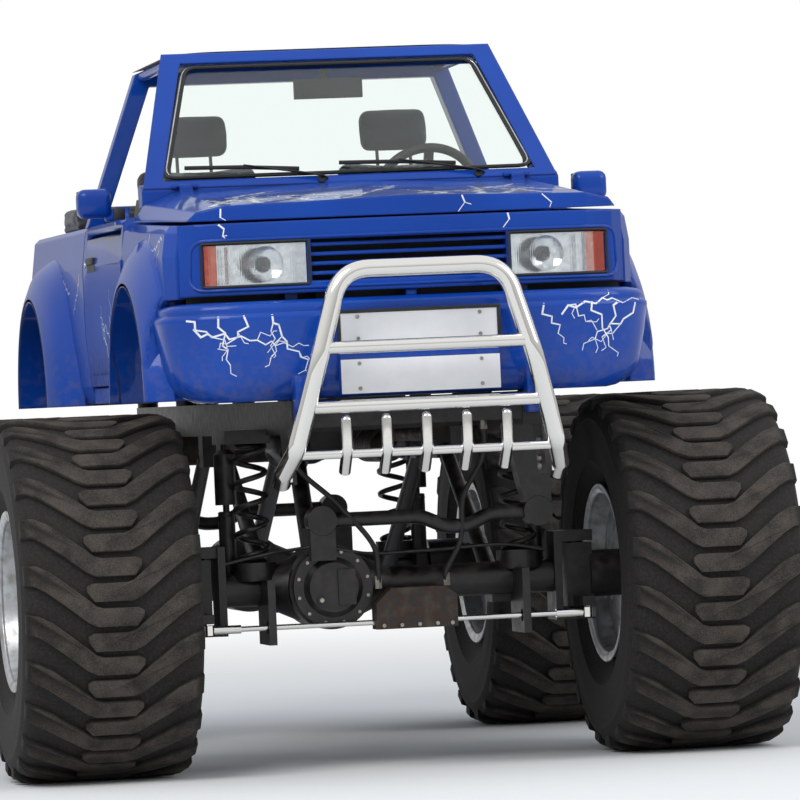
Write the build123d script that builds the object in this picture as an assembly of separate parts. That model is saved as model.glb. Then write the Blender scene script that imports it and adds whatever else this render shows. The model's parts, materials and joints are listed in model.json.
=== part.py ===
"""Lifted two-door off-road show truck on wide flotation tyres, as an assembly of separate parts.

Millimetres, +Z up, ground at zero. The front faces -Y and the vehicle's left is +X.
Every piece is drawn with Y measured back from the front axle and moved into place at the end.
"""
import math
import os

from build123d import *

# Wheels and axles
TYRE_R = 600
TYRE_WIDTH = 600
RIM_R = 285
RIM_WIDTH = 520
TRACK = 2000
WHEELBASE = 2200
DISC_INSET = 200
KINGPIN_INSET = 360
WHEEL_X = TRACK / 2
HUB_FACE_X = WHEEL_X - DISC_INSET
KINGPIN_X = WHEEL_X - KINGPIN_INSET
AXLE_Z = TYRE_R
YOKE_HALF = 148
YOKE_PLATE = 36
SPINDLE_R = 40
KINGPIN_R = 25
RUNNING_FIT = 0.05
STEER_ARM = 175
ROD_Z = AXLE_Z - 122
ROD_R = 9
FRONT_DIFF_X = -212
REAR_DIFF_X = -120
FRONT_REACH = 882
REAR_REACH = 640
FRONT_AXLE_Y = -(WHEELBASE + REAR_REACH - FRONT_REACH) / 2

# Chassis
RAIL_X = 380
RAIL_WIDTH = 60
RAIL_BOTTOM = 1110
RAIL_TOP = 1220
RAIL_FRONT = -640
RAIL_REAR = WHEELBASE + 545
SPRING_X = KINGPIN_X - 190
SPRING_SEAT = AXLE_Z + 90
SPRING_TOP = 1085
SHOCK_X = KINGPIN_X - 120
SHOCK_Y = 80
ARM_X = 385
ARM_FRONT = 90
ARM_BACK = 860
PANHARD_Z = AXLE_Z + 221
PANHARD_Y = 150
PANHARD_LOW = -245
PANHARD_HIGH = 483
PANHARD_EYE = 50

TOW_PIN_R = 20
FOOT_X = 425

# Body
SILL_Z = 1240
FLOOR_Z = 1290
INNER_X = 705
GAP = 6
ARCH_R = 385
ARCH_Z = 1235
DOOR_FRONT = 450
DOOR_REAR = 1400
HOOP_Y = DOOR_REAR + 20
DOOR_BOTTOM = 1300
BODY_REAR = WHEELBASE + 560
BONNET_EDGE = 1806
BONNET_AXIS_Z = BONNET_EDGE + 150
BELT_Z = BONNET_EDGE + 56
NOSE_LOW = BONNET_EDGE - 239
HINGE_X = 782
HINGE_Y = DOOR_FRONT
HINGE_HEIGHTS = (BELT_Z - 422, BELT_Z - 182)
COWL_Y = 338
BONNET_HINGE_X = 570
GLASS_BOTTOM = (645, 365, BONNET_AXIS_Z + 7)
GLASS_TOP = (516, 714, GLASS_BOTTOM[2] + 426)
HEADER_Z = GLASS_TOP[2] + 31
GLASS_THICK = 6
PANE = [(-640, 12), (-512, 545), (512, 545), (640, 12)]
TAILGATE_HALF = 620
TAILGATE_BOTTOM = BELT_Z - 407
TAILGATE_AXIS = (-624, BODY_REAR + 12)
TAILGATE_HINGES = (BELT_Z - 302, BELT_Z - 102)
BULKHEAD_Y = 412
STEERING_WHEEL = (340, 770, BONNET_AXIS_Z - 41)
STEERING_WHEEL_R = 190
STEERING_RAKE = 28
COLUMN_R = 12

# The side wall in section: (x, z) up the outside, then down the inside
WALL = [(742, SILL_Z), (766, SILL_Z + 60), (780, BELT_Z - 382), (780, BELT_Z - 142), (764, BELT_Z - 17),
        (746, BELT_Z), (INNER_X, BELT_Z), (INNER_X, SILL_Z)]
# The nose seen from above: (x, y) from the middle outwards
NOSE = [(0, -652), (341, -631), (600, -590), (690, -555), (735, -500)]
NOSE_SIDE = 735
NOSE_BACK = -495
PLATE_Y = -738
BUMPER_LOW = 1225
BUMPER = [(0, -728), (420, -712), (680, -655), (790, -560), (812, -488), (815, -430)]


def box(x0, x1, y0, y1, z0, z1):
    middle = ((x0 + x1) / 2, (y0 + y1) / 2, (z0 + z1) / 2)
    return Pos(*middle) * Box(abs(x1 - x0), abs(y1 - y0), abs(z1 - z0))


def prism_x(points, x0, x1):
    """A polygon of (y, z) points carried from x0 to x1."""
    face = Plane.YZ.offset(min(x0, x1)) * make_face(Polyline(*points, close=True))
    return extrude(face, abs(x1 - x0))


def prism_y(points, y0, y1):
    """A polygon of (x, z) points carried from y0 to y1."""
    plane = Plane(origin=(0, max(y0, y1), 0), x_dir=(1, 0, 0), z_dir=(0, -1, 0))
    return extrude(plane * make_face(Polyline(*points, close=True)), abs(y1 - y0))


def prism_z(points, z0, z1):
    """A polygon of (x, y) points carried from z0 to z1."""
    return extrude(Pos(0, 0, z0) * make_face(Polyline(*points, close=True)), z1 - z0)


def rod(start, end, radius, bore=0):
    """A round bar between two points, hollow if it has a bore."""
    along = Vector(*end) - Vector(*start)
    plane = Plane(origin=start, z_dir=along)
    face = Circle(radius) - Circle(bore) if bore else Circle(radius)
    return extrude(plane * face, along.length)


def tube(points, radius, bend):
    """A bent round tube through the points, corners rounded to the bend radius."""
    path = FilletPolyline(*points, radius=bend)
    plane = Plane(origin=path @ 0, z_dir=path % 0)
    return sweep(plane * Circle(radius), path=path)


def ruled(sections):
    """A solid between polygons of equal point counts; each is a list of (x, y, z)."""
    wires = [Face(Wire(Polyline(*points, close=True).edges())) for points in sections]
    return loft(wires, ruled=True)


def fuse(*shapes):
    whole = shapes[0]
    for shape in shapes[1:]:
        whole = whole + shape
    return whole


def both(shape):
    """The shape with its twin across the middle."""
    return shape + mirror(shape, about=Plane.YZ)


def twin(shape):
    return mirror(shape, about=Plane.YZ)


def symmetric(points):
    """A half outline (x, y) from the middle outwards, made whole from left to right."""
    return [(-x, y) for x, y in reversed(points)] + [(x, y) for x, y in points if x > 0]


def inset(points, amount):
    """The half outline moved back and inwards by the amount."""
    return [(max(x - amount, 0) if x else 0, y + amount) for x, y in points]


# Wheels

def tyre(side, y):
    half = TYRE_WIDTH / 2
    profile = [(RIM_R, half - 60), (RIM_R + 25, half - 25), (430, half), (560, half - 6),
               (TYRE_R, half - 45)]
    outline = [(x, r) for r, x in profile] + [(-x, r) for r, x in reversed(profile)]
    section = Plane.XZ * make_face(Polyline(*outline, close=True))
    ring = revolve(section, Axis.X)
    return Pos(side * WHEEL_X, y, AXLE_Z) * ring


def rim(side, y):
    half = RIM_WIDTH / 2
    barrel = [(-half, RIM_R), (half, RIM_R), (half, RIM_R - 18), (-half, RIM_R - 18)]
    shape = revolve(Plane.XZ * make_face(Polyline(*barrel, close=True)), Axis.X)
    disc_x = side * (HUB_FACE_X - WHEEL_X)
    disc = rod((disc_x, 0, 0), (disc_x + side * 16, 0, 0), RIM_R - 10, SPINDLE_R + RUNNING_FIT)
    cap = rod((disc_x + side * 16, 0, 0), (disc_x + side * 40, 0, 0), 95, SPINDLE_R + RUNNING_FIT)
    shape = fuse(shape, disc, cap)
    for n in range(8):
        turn = math.radians(45 * n + 22.5)
        hole = rod((disc_x - side * 5, 195 * math.cos(turn), 195 * math.sin(turn)),
                   (disc_x + side * 21, 195 * math.cos(turn), 195 * math.sin(turn)), 28)
        shape = shape - hole
    return Pos(side * WHEEL_X, y, AXLE_Z) * shape


# Axles and steering

def axle_beam(y, diff_x, facing):
    """The tube and differential; the round cover faces the way given."""
    beam = rod((80 - KINGPIN_X, y, AXLE_Z), (KINGPIN_X - 80, y, AXLE_Z), 55)
    bulb = rod((diff_x, y - 118, AXLE_Z), (diff_x, y + 118, AXLE_Z), 140)
    cover = rod((diff_x, y + facing * 118, AXLE_Z), (diff_x, y + facing * 150, AXLE_Z), 125)
    neck = rod((diff_x, y - facing * 118, AXLE_Z + 10), (diff_x, y - facing * 210, AXLE_Z + 25), 62)
    shape = fuse(beam, bulb, cover, neck)
    for side in (-1, 1):
        cone = Pos(diff_x + side * 155, y, AXLE_Z) * Rot(0, side * 90, 0) * Cone(110, 55, 120)
        seat = rod((side * SPRING_X, y, AXLE_Z + 30), (side * SPRING_X, y, SPRING_SEAT), 76)
        shape = fuse(shape, cone, seat)
    return shape


def shock_bracket(side, y):
    """The block on the axle tube that carries a damper's foot."""
    return box(side * (SHOCK_X - 20), side * (SHOCK_X + 20), y - 40, y + 40, AXLE_Z - 40, AXLE_Z + 40)


def front_axle():
    shape = axle_beam(0, FRONT_DIFF_X, -1)
    for side in (-1, 1):
        low, high = AXLE_Z - YOKE_HALF, AXLE_Z + YOKE_HALF
        inner, outer = side * (KINGPIN_X - 70), side * (KINGPIN_X + 50)
        post = box(side * (KINGPIN_X - 85), side * (KINGPIN_X - 60), -70, 70, low, high)
        top = box(inner, outer, -55, 55, high - YOKE_PLATE, high)
        bottom = box(inner, outer, -55, 55, low, low + YOKE_PLATE)
        x = side * KINGPIN_X
        pin_top = rod((x, 0, AXLE_Z + 40), (x, 0, high - YOKE_PLATE), KINGPIN_R)
        pin_bottom = rod((x, 0, low + YOKE_PLATE), (x, 0, AXLE_Z - 40), KINGPIN_R)
        bracket = box(side * 415, side * 440, -STEER_ARM - 30, 0, AXLE_Z - 180, AXLE_Z + 34)
        bracket = bracket - rod((side * 400, -STEER_ARM, ROD_Z), (side * 460, -STEER_ARM, ROD_Z), 22)
        shock = shock_bracket(side, SHOCK_Y)
        shape = fuse(shape, post, top, bottom, pin_top, pin_bottom, bracket, shock)
        arm = box(side * (ARM_X - 33), side * (ARM_X + 33), 0, ARM_FRONT, AXLE_Z - 80, AXLE_Z)
        shape = fuse(shape, arm)
    return fuse(shape, panhard_tower(PANHARD_LOW, -PANHARD_Y, -40))


def rear_axle():
    y = WHEELBASE
    shape = axle_beam(y, REAR_DIFF_X, 1)
    for side in (-1, 1):
        inner, outer = side * (KINGPIN_X - 80), side * (KINGPIN_X + 50)
        hub = rod((inner, y, AXLE_Z), (outer, y, AXLE_Z), 90)
        flange = rod((outer, y, AXLE_Z), (side * (HUB_FACE_X - GAP), y, AXLE_Z), 70)
        spindle = rod((outer, y, AXLE_Z), (side * (HUB_FACE_X + 50), y, AXLE_Z), SPINDLE_R)
        shock = shock_bracket(side, y - SHOCK_Y)
        arm = box(side * (ARM_X - 33), side * (ARM_X + 33), y - ARM_FRONT, y, AXLE_Z - 80, AXLE_Z)
        shape = fuse(shape, hub, flange, spindle, shock, arm)
    return fuse(shape, panhard_tower(-PANHARD_LOW, y + PANHARD_Y, y + 40))


def panhard_tower(x, y_eye, y_axle):
    """The bracket on the axle that carries the low end of a sideways rod."""
    toward = math.copysign(40, y_eye - y_axle)
    upright = box(x - 42, x + 42, y_axle, y_eye + toward, SPRING_SEAT, PANHARD_Z - 25)
    leg = box(x - 42, x + 42, y_axle - toward, y_axle + toward, AXLE_Z, AXLE_Z + 160)
    eye = rod((x, y_eye - 60, PANHARD_Z), (x, y_eye + 60, PANHARD_Z), PANHARD_EYE)
    return fuse(upright, leg) - eye


def knuckle(side):
    """The steered end: kingpin block, stub axle and the arm that the rod moves."""
    root = side * (KINGPIN_X + 40)
    reach = YOKE_HALF - YOKE_PLATE
    low, high = AXLE_Z - reach + GAP, AXLE_Z + reach - GAP
    block = box(side * (KINGPIN_X - 40), side * (KINGPIN_X + 50), -42, 42, low, high)
    stub = rod((root, 0, AXLE_Z), (side * (HUB_FACE_X - GAP), 0, AXLE_Z), 78)
    spindle = rod((root, 0, AXLE_Z), (side * (HUB_FACE_X + 50), 0, AXLE_Z), SPINDLE_R)
    arm = box(side * (KINGPIN_X - 20), side * (KINGPIN_X + 20), -STEER_ARM - 22, -30, ROD_Z + 22, ROD_Z + 52)
    shape = fuse(block, stub, spindle, arm)
    x = side * KINGPIN_X
    for low, high in ((AXLE_Z - reach, AXLE_Z - 40), (AXLE_Z + 40, AXLE_Z + reach)):
        bore = rod((x, 0, low), (x, 0, high), KINGPIN_R + RUNNING_FIT)
        shape = shape - bore
    return shape


def steering_cylinder():
    """Hydraulic cylinder in its box guard, bolted to the front of the axle tube."""
    low, high = ROD_Z - 23, ROD_Z + 111
    outline = [(-82, low), (190, low), (190, high - 29), (150, high), (-30, high), (-82, high - 49)]
    guard = prism_y(outline, -STEER_ARM - 45, 45 - STEER_ARM)
    foot = box(40, 150, 45 - STEER_ARM, -30, high - 29, high)
    bore = rod((-150, -STEER_ARM, ROD_Z), (250, -STEER_ARM, ROD_Z), ROD_R + RUNNING_FIT)
    tube_space = rod((80 - KINGPIN_X, 0, AXLE_Z), (KINGPIN_X - 80, 0, AXLE_Z), 55)
    return fuse(guard, foot) - bore - tube_space


def steering_rod():
    """The rod through the cylinder with an eye under each knuckle arm."""
    shape = rod((100 - KINGPIN_X, -STEER_ARM, ROD_Z), (KINGPIN_X - 100, -STEER_ARM, ROD_Z), ROD_R)
    for side in (-1, 1):
        inner, outer = side * (KINGPIN_X - 110), side * (KINGPIN_X - 20)
        joint = rod((inner, -STEER_ARM, ROD_Z), (outer, -STEER_ARM, ROD_Z), 14)
        x = side * KINGPIN_X
        eye = rod((x, -STEER_ARM, ROD_Z - 16), (x, -STEER_ARM, ROD_Z + 16), 24)
        shape = fuse(shape, joint, eye)
    return shape


# Suspension

def coil_springs():
    places = [(side * SPRING_X, y) for y in (0, WHEELBASE) for side in (-1, 1)]
    return [rod((x, y, SPRING_SEAT), (x, y, SPRING_TOP), 62, 40) for x, y in places]


def shock_absorbers():
    parts = []
    for y in (SHOCK_Y, WHEELBASE - SHOCK_Y):
        for side in (-1, 1):
            body = rod((side * SHOCK_X, y, AXLE_Z + 40), (side * SHOCK_X, y, AXLE_Z + 260), 28)
            shaft = rod((side * SHOCK_X, y, AXLE_Z + 250), (side * SHOCK_X, y, SPRING_TOP), 11)
            parts.append(fuse(body, shaft))
    return parts


def suspension_links():
    """Radius arms from the axles to the frame, and the sideways rods."""
    parts = []
    for side in (-1, 1):
        arm = rod((side * ARM_X, 0, AXLE_Z - 98), (side * ARM_X, 1000, RAIL_BOTTOM + 8), 28)
        front = arm & box(side * 340, side * 430, ARM_FRONT, ARM_BACK, 400, 1300)
        parts.append(front)
        parts.append(mirror(front, about=Plane.XZ.offset(-WHEELBASE / 2)))
    for y, low, high in ((-PANHARD_Y, PANHARD_LOW, PANHARD_HIGH),
                         (WHEELBASE + PANHARD_Y, -PANHARD_HIGH, -PANHARD_LOW)):
        bar = rod((low, y, PANHARD_Z), (high, y, PANHARD_Z), 23)
        for x in (low, high):
            bar = bar + rod((x, y - 40, PANHARD_Z), (x, y + 40, PANHARD_Z), PANHARD_EYE)
        parts.append(bar)
    return parts


# Chassis

def chassis_frame():
    """Ladder frame with body posts, spring towers, link brackets and the feet of the bull bar."""
    shape = None
    half = RAIL_WIDTH / 2
    for side in (-1, 1):
        rail = box(side * (RAIL_X - half), side * (RAIL_X + half), RAIL_FRONT, RAIL_REAR, RAIL_BOTTOM, RAIL_TOP)
        shape = rail if shape is None else shape + rail
        for y in (0, WHEELBASE):
            inner, outer = side * min(RAIL_X + 20, SPRING_X - 50), side * (SPRING_X + 100)
            shape = shape + box(inner, outer, y - 130, y + 130, SPRING_TOP, SPRING_TOP + 45)
        for y in (480, 1250, WHEELBASE - 470, WHEELBASE + 460):
            shape = shape + rod((side * RAIL_X, y, RAIL_TOP), (side * RAIL_X, y, FLOOR_Z), 38)
        for y in (ARM_BACK + 45, WHEELBASE - ARM_BACK - 45):
            inner, outer = side * (ARM_X - 30), side * (ARM_X + 20)
            shape = shape + box(inner, outer, y - 45, y + 45, RAIL_BOTTOM - 110, RAIL_BOTTOM + 5)
        shape = shape + box(side * 260, side * 355, -130, -60, 1170, 1240)
        foot = prism_x([(-690, 950), (-560, 950), (-480, RAIL_BOTTOM + 20), (-640, RAIL_BOTTOM + 20)],
                       side * 410, side * FOOT_X)
        shape = shape + (foot - rod((side * 400, -590, 1040), (side * 440, -590, 1040), TOW_PIN_R - 2))
    for y, width, low, high in ((-600, 60, 1130, 1210), (240, 60, 1112, 1130), (1100, 90, 1120, 1210),
                                (WHEELBASE - 300, 60, 1120, 1210), (RAIL_REAR - 45, 70, 1120, 1210)):
        shape = shape + box(-RAIL_X, RAIL_X, y - width / 2, y + width / 2, low, high)
    for x, y in ((PANHARD_HIGH, -PANHARD_Y), (-PANHARD_HIGH, WHEELBASE + PANHARD_Y)):
        post = prism_y([(x - 45, PANHARD_Z + 30), (x + 45, PANHARD_Z + 30), (x + 45, RAIL_BOTTOM + 5),
                        (math.copysign(RAIL_X, x), RAIL_BOTTOM + 5)], y - 40, y + 40)
        shape = shape + (post - rod((x, y - 60, PANHARD_Z), (x, y + 60, PANHARD_Z), PANHARD_EYE))
    eye_y = RAIL_REAR + 50
    jaw = box(-45, 45, RAIL_REAR - 15, RAIL_REAR + 87, 1150, 1175)
    jaw = jaw - rod((0, eye_y, 1100), (0, eye_y, 1200), TOW_PIN_R)
    return shape + jaw


# Body

def arch_cutter(y, x0, x1):
    """The wheel opening: a half round with straight sides below."""
    round_top = rod((x0, y, ARCH_Z), (x1, y, ARCH_Z), ARCH_R)
    return fuse(round_top, box(x0, x1, y - ARCH_R, y + ARCH_R, ARCH_Z - 200, ARCH_Z))


def flare(y, x_out):
    """A lip standing out round a wheel opening."""
    section = [(755, ARCH_R + 58), (795, ARCH_R + 50), (x_out - 8, ARCH_R + 30), (x_out, ARCH_R + 12),
               (x_out, ARCH_R), (755, ARCH_R)]
    face = Plane.XZ * make_face(Polyline(*section, close=True))
    ring = revolve(face, Axis.X)
    ring = ring & box(700, 900, -600, 600, 0, 600)
    return Pos(0, y, ARCH_Z) * ring


def hinge_knuckle(x, y, low, high, radius, tab):
    """One leaf of an upright hinge: a barrel with its tab, a box (x0, x1, y0, y1)."""
    barrel = rod((x, y, low), (x, y, high), radius)
    return barrel + box(*tab, low, high)


def wheel_well(y):
    """The inner arch over a wheel, with its end wall."""
    shell = rod((470, y, ARCH_Z), (712, y, ARCH_Z), ARCH_R + 10)
    shell = shell - rod((480, y, ARCH_Z), (720, y, ARCH_Z), ARCH_R)
    return shell & box(400, 800, y - 500, y + 500, ARCH_Z, ARCH_Z + 500)


def wing(side):
    """Front wing with its flare and inner arch."""
    def section(y, skin, top):
        return [(INNER_X, y, SILL_Z), (skin - 8, y, SILL_Z), (skin, y, BELT_Z - 382), (skin, y, top - 100),
                (skin - 12, y, top - 24), (skin - 30, y, top), (INNER_X, y, top)]
    shape = ruled([section(NOSE_BACK, 742, BONNET_EDGE - 6), section(-425, 776, BONNET_EDGE - 3),
                   section(DOOR_FRONT - GAP, 780, BELT_Z - 24)])
    shape = shape - box(600, 900, -600, -ARCH_R + 5, 1100, NOSE_LOW - 5)
    shape = shape - arch_cutter(0, 600, 900)
    shape = fuse(shape, flare(0, 850), wheel_well(0))
    tab = (HINGE_X - 6, HINGE_X + 2, HINGE_Y - 10, HINGE_Y)
    for z in HINGE_HEIGHTS:
        for low in (z - 40, z + 15):
            shape = shape + hinge_knuckle(HINGE_X, HINGE_Y, low, low + 25, 4.5, tab)
        shape = shape + rod((HINGE_X, HINGE_Y, z - 40), (HINGE_X, HINGE_Y, z + 40), 2.5)
    return shape if side > 0 else twin(shape)


def quarter(side):
    """Rear side panel with its flare and inner arch."""
    shape = prism_y(WALL, DOOR_REAR + GAP, BODY_REAR) - arch_cutter(WHEELBASE, 600, 900)
    shape = fuse(shape, flare(WHEELBASE, 872), wheel_well(WHEELBASE))
    return shape if side > 0 else twin(shape)


def body_tub():
    """Floor, bulkhead, sills, rear panel and scuttle."""
    floor = box(-INNER_X, INNER_X, BULKHEAD_Y, BODY_REAR, FLOOR_Z, FLOOR_Z + 10)
    for side in (-1, 1):
        sill = box(side * 640, side * 755, DOOR_FRONT, DOOR_REAR, SILL_Z, DOOR_BOTTOM - GAP)
        floor = floor + sill
    floor = floor - both(box(470, 760, WHEELBASE - ARCH_R - 10, WHEELBASE + ARCH_R + 10, 1200, 1400))
    bulkhead = box(-INNER_X, INNER_X, BULKHEAD_Y, BULKHEAD_Y + 15, FLOOR_Z, BONNET_AXIS_Z - 66)
    rear_panel = box(-INNER_X, INNER_X, BODY_REAR - 60, BODY_REAR, SILL_Z + 10, TAILGATE_BOTTOM - GAP)
    corner = both(box(TAILGATE_HALF + 8, INNER_X, BODY_REAR - 60, BODY_REAR, SILL_Z + 10, BELT_Z - 12))
    tunnel = prism_y([(-150, 1295), (-110, 1430), (110, 1430), (150, 1295)], BULKHEAD_Y, 1500)
    shape = fuse(floor, bulkhead, rear_panel, corner, tunnel)
    x, y = TAILGATE_AXIS
    for z in TAILGATE_HINGES:
        for low in (z - 50, z + 20):
            shape = shape + hinge_knuckle(x, y, low, low + 30, 8, (x - 16, x, BODY_REAR, y + 4))
        shape = shape + rod((x, y, z - 50), (x, y, z + 50), 4)
    return shape


def bonnet():
    """Bonnet skin with its turned-down front edge."""
    edge, rear = BONNET_EDGE, BONNET_AXIS_Z
    outer = [(0, edge + 62), (600, edge + 44), (676, edge + 28), (704, edge)]
    outer_rear = [(0, rear - 2), (600, rear - 16), (712, rear - 56), (750, rear - 113)]
    inner = [(0, edge + 46), (590, edge + 29), (662, edge + 14), (686, edge - 8)]
    inner_rear = [(0, rear - 18), (592, rear - 32), (698, rear - 68), (734, rear - 123)]

    def ring(half, y):
        return [(-x, y, z) for x, z in reversed(half)] + [(x, y, z) for x, z in half if x > 0]
    nose = symmetric(NOSE)
    shell = ruled([ring(outer, -660), ring(outer_rear, COWL_Y)])
    hollow = ruled([ring(inner, -661), ring(inner_rear, COWL_Y + 1)])
    room = [(x, y + 14) for x, y in nose] + [(800, COWL_Y), (-800, COWL_Y)]
    hollow = hollow & prism_z(room, edge - 106, rear + 144)
    plan = prism_z(nose + [(800, -430), (800, COWL_Y), (-800, COWL_Y), (-800, -430)], edge, rear + 144)
    shape = (shell - hollow) & plan
    for x in (-BONNET_HINGE_X, BONNET_HINGE_X):
        barrel = rod((x - 22, COWL_Y, BONNET_AXIS_Z), (x + 22, COWL_Y, BONNET_AXIS_Z), 8)
        tab = box(x - 22, x + 22, COWL_Y - 24, COWL_Y, BONNET_AXIS_Z - 24, BONNET_AXIS_Z)
        bore = rod((x - 30, COWL_Y, BONNET_AXIS_Z), (x + 30, COWL_Y, BONNET_AXIS_Z), 4 + RUNNING_FIT)
        shape = shape + barrel + tab - bore
    return shape


def front_panel():
    """Nose strip, lamp and grille surround with its slats, and the legs down to the frame."""
    plan = symmetric(NOSE) + [(NOSE_SIDE, NOSE_BACK - 1), (-NOSE_SIDE, NOSE_BACK - 1)]
    low = NOSE_LOW
    block = prism_z(plan, low, BONNET_EDGE - 6)
    lamps = both(box(335, 664, -700, -400, low + 33, low + 165))
    middle = box(-322, 322, -700, -400, low + 37, low + 171)
    shape = block - lamps - middle
    shape = shape + box(-330, 330, -510, NOSE_BACK - 1, low + 23, low + 178)
    for n in range(4):
        z = low + 55 + 31 * n
        shape = shape + box(-330, 330, -620, -500, z, z + 12)
    legs = both(box(RAIL_X - 20, RAIL_X + 20, -560, -520, RAIL_TOP, low + 13))
    return shape + legs


def headlamps():
    lens = box(338, 661, -640, NOSE_BACK - 1, NOSE_LOW + 33, NOSE_LOW + 162)
    cut = prism_z(symmetric(NOSE) + [(NOSE_SIDE, -400), (-NOSE_SIDE, -400)], NOSE_LOW, BONNET_EDGE)
    lens = lens & (Pos(0, 6, 0) * cut)
    return [lens, twin(lens)]


def front_bumper():
    """Wrap-round bumper skin, open behind, with its brackets on the rail ends."""
    low, high = BUMPER_LOW, BUMPER_LOW + 275
    outer = prism_z(symmetric(BUMPER), low, high)
    inner = prism_z(symmetric(inset(BUMPER[:-1], 28)) + [(784, -400), (-784, -400)], low - 25, high - 14)
    shape = outer - inner - box(-784, 784, -560, -400, low - 25, high + 100)
    shape = shape - box(-900, 900, -445, -400, low - 25, high + 100)
    mounts = both(box(355, 405, -690, RAIL_FRONT, 1150, 1300))
    carrier = box(-270, 270, PLATE_Y, -700, low + 1, high - 1)
    shape = shape + carrier
    return fuse(shape, mounts)


def bull_bar():
    """Bent main tube with cross tubes and a row of short uprights."""
    front = -FRONT_REACH + 30
    half = [(455, -655, 955), (455, -700, 985), (425, -790, 1060), (392, -822, 1190), (352, front, 1340),
            (318, front, 1450), (240, -838, 1632)]
    points = half + [(-x, y, z) for x, y, z in reversed(half)]
    shape = tube(points, 30, 60)
    shape = shape + both(box(FOOT_X, 450, -700, -630, 958, 1000))
    for x, y, z, radius in ((340, front + 4, 1383, 21), (392, -822, 1194, 21), (430, -770, 1043, 15)):
        shape = shape + rod((-x, y, z), (x, y, z), radius)
    return shape


def number_plates():
    upper = box(-260, 260, PLATE_Y - 6, PLATE_Y, BUMPER_LOW + 167, BUMPER_LOW + 273)
    lower = box(-260, 260, PLATE_Y - 6, PLATE_Y, BUMPER_LOW + 9, BUMPER_LOW + 119)
    return [upper, lower]


def door(side):
    shape = prism_y(WALL, DOOR_FRONT + GAP, DOOR_REAR - GAP)
    shape = shape & box(600, 900, DOOR_FRONT, DOOR_REAR, DOOR_BOTTOM, BELT_Z + 38)
    pocket = box(717, 768, DOOR_FRONT + 60, DOOR_REAR - 60, DOOR_BOTTOM + 40, BELT_Z - 30)
    shape = shape - pocket
    mirror_arm = box(740, 800, DOOR_FRONT + 30, DOOR_FRONT + 70, BELT_Z - 22, BELT_Z + 38)
    housing = box(795, 915, DOOR_FRONT + 20, DOOR_FRONT + 110, BELT_Z + 3, BELT_Z + 102)
    shape = fuse(shape, mirror_arm, housing)
    tab = (HINGE_X - 6, HINGE_X + 2, HINGE_Y, HINGE_Y + 10)
    for z in HINGE_HEIGHTS:
        shape = shape + hinge_knuckle(HINGE_X, HINGE_Y, z - 13, z + 13, 4.5, tab)
        shape = shape - rod((HINGE_X, HINGE_Y, z - 20), (HINGE_X, HINGE_Y, z + 20), 2.5 + RUNNING_FIT)
    return shape if side > 0 else twin(shape)


def tailgate():
    shape = box(-TAILGATE_HALF, TAILGATE_HALF, BODY_REAR - 60, BODY_REAR, TAILGATE_BOTTOM, BELT_Z - 12)
    x, y = TAILGATE_AXIS
    for z in TAILGATE_HINGES:
        shape = shape + hinge_knuckle(x, y, z - 16, z + 16, 8, (x, x + 80, BODY_REAR, y + 4))
        shape = shape - rod((x, y, z - 20), (x, y, z + 20), 4 + RUNNING_FIT)
    return shape


def tail_lamps():
    lamp = box(648, 735, BODY_REAR, BODY_REAR + 22, BELT_Z - 362, BELT_Z - 122)
    return [lamp, twin(lamp)]


def rear_bumper():
    bar = box(-760, 760, BODY_REAR, WHEELBASE + REAR_REACH, 1255, 1430)
    return bar


def glass_plane():
    origin = (0, GLASS_BOTTOM[1], GLASS_BOTTOM[2])
    up = Vector(0, GLASS_TOP[1] - GLASS_BOTTOM[1], GLASS_TOP[2] - GLASS_BOTTOM[2])
    return Plane(origin=origin, x_dir=(1, 0, 0), z_dir=(0, -up.Z, up.Y))


def windscreen_frame():
    plane = glass_plane()
    outer = [(-712, -20), (-572, 590), (572, 590), (712, -20)]
    face = make_face(Polyline(*outer, close=True)) - make_face(Polyline(*PANE, close=True))
    shape = extrude(plane.offset(-45) * face, 53)
    z = BONNET_AXIS_Z
    outline = [(345, z - 10), (345, z - 66), (427, z - 66), (440, z - 6), (400, z + 12), (370, z + 6)]
    cowl = prism_x(outline, -716, 716)
    header = box(-560, 560, 745, 800, HEADER_Z - 40, HEADER_Z)
    rail = rod((535, 780, HEADER_Z - 25), (535, HOOP_Y + 40, HEADER_Z - 35), 18)
    rails = both(rail & box(500, 570, 780, HOOP_Y, HEADER_Z - 120, HEADER_Z + 30))
    shape = fuse(shape, cowl, header, rails)
    for x in (-BONNET_HINGE_X, BONNET_HINGE_X):
        pin = rod((x - 45, COWL_Y, BONNET_AXIS_Z), (x + 45, COWL_Y, BONNET_AXIS_Z), 4)
        ears = box(x - 45, x - 28, COWL_Y - 6, 372, BONNET_AXIS_Z - 6, BONNET_AXIS_Z + 6)
        ears = ears + box(x + 28, x + 45, COWL_Y - 6, 372, BONNET_AXIS_Z - 6, BONNET_AXIS_Z + 6)
        shape = fuse(shape, pin, ears)
    return shape


def windscreen_glass():
    plane = glass_plane()
    return extrude(plane.offset(-GLASS_THICK) * make_face(Polyline(*PANE, close=True)), GLASS_THICK)


def roll_hoop():
    top = HEADER_Z - 10
    outer = [(-752, BELT_Z), (-560, top - 15), (-520, top), (520, top), (560, top - 15), (752, BELT_Z)]
    inner = [(-692, BELT_Z), (-512, top - 60), (512, top - 60), (692, BELT_Z)]
    hoop = prism_y(outer, HOOP_Y, HOOP_Y + 70) - prism_y(inner, HOOP_Y - 20, HOOP_Y + 80)
    return hoop


def soft_top():
    z = HEADER_Z
    roof = prism_x([(745, z), (745, z + 12), (HOOP_Y + 70, z + 2), (HOOP_Y + 70, z - 10), (800, z)], -560, 560)
    stack = box(-722, 722, 1960, 2360, BELT_Z, BELT_Z + 95)
    return [roof, stack]


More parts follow.
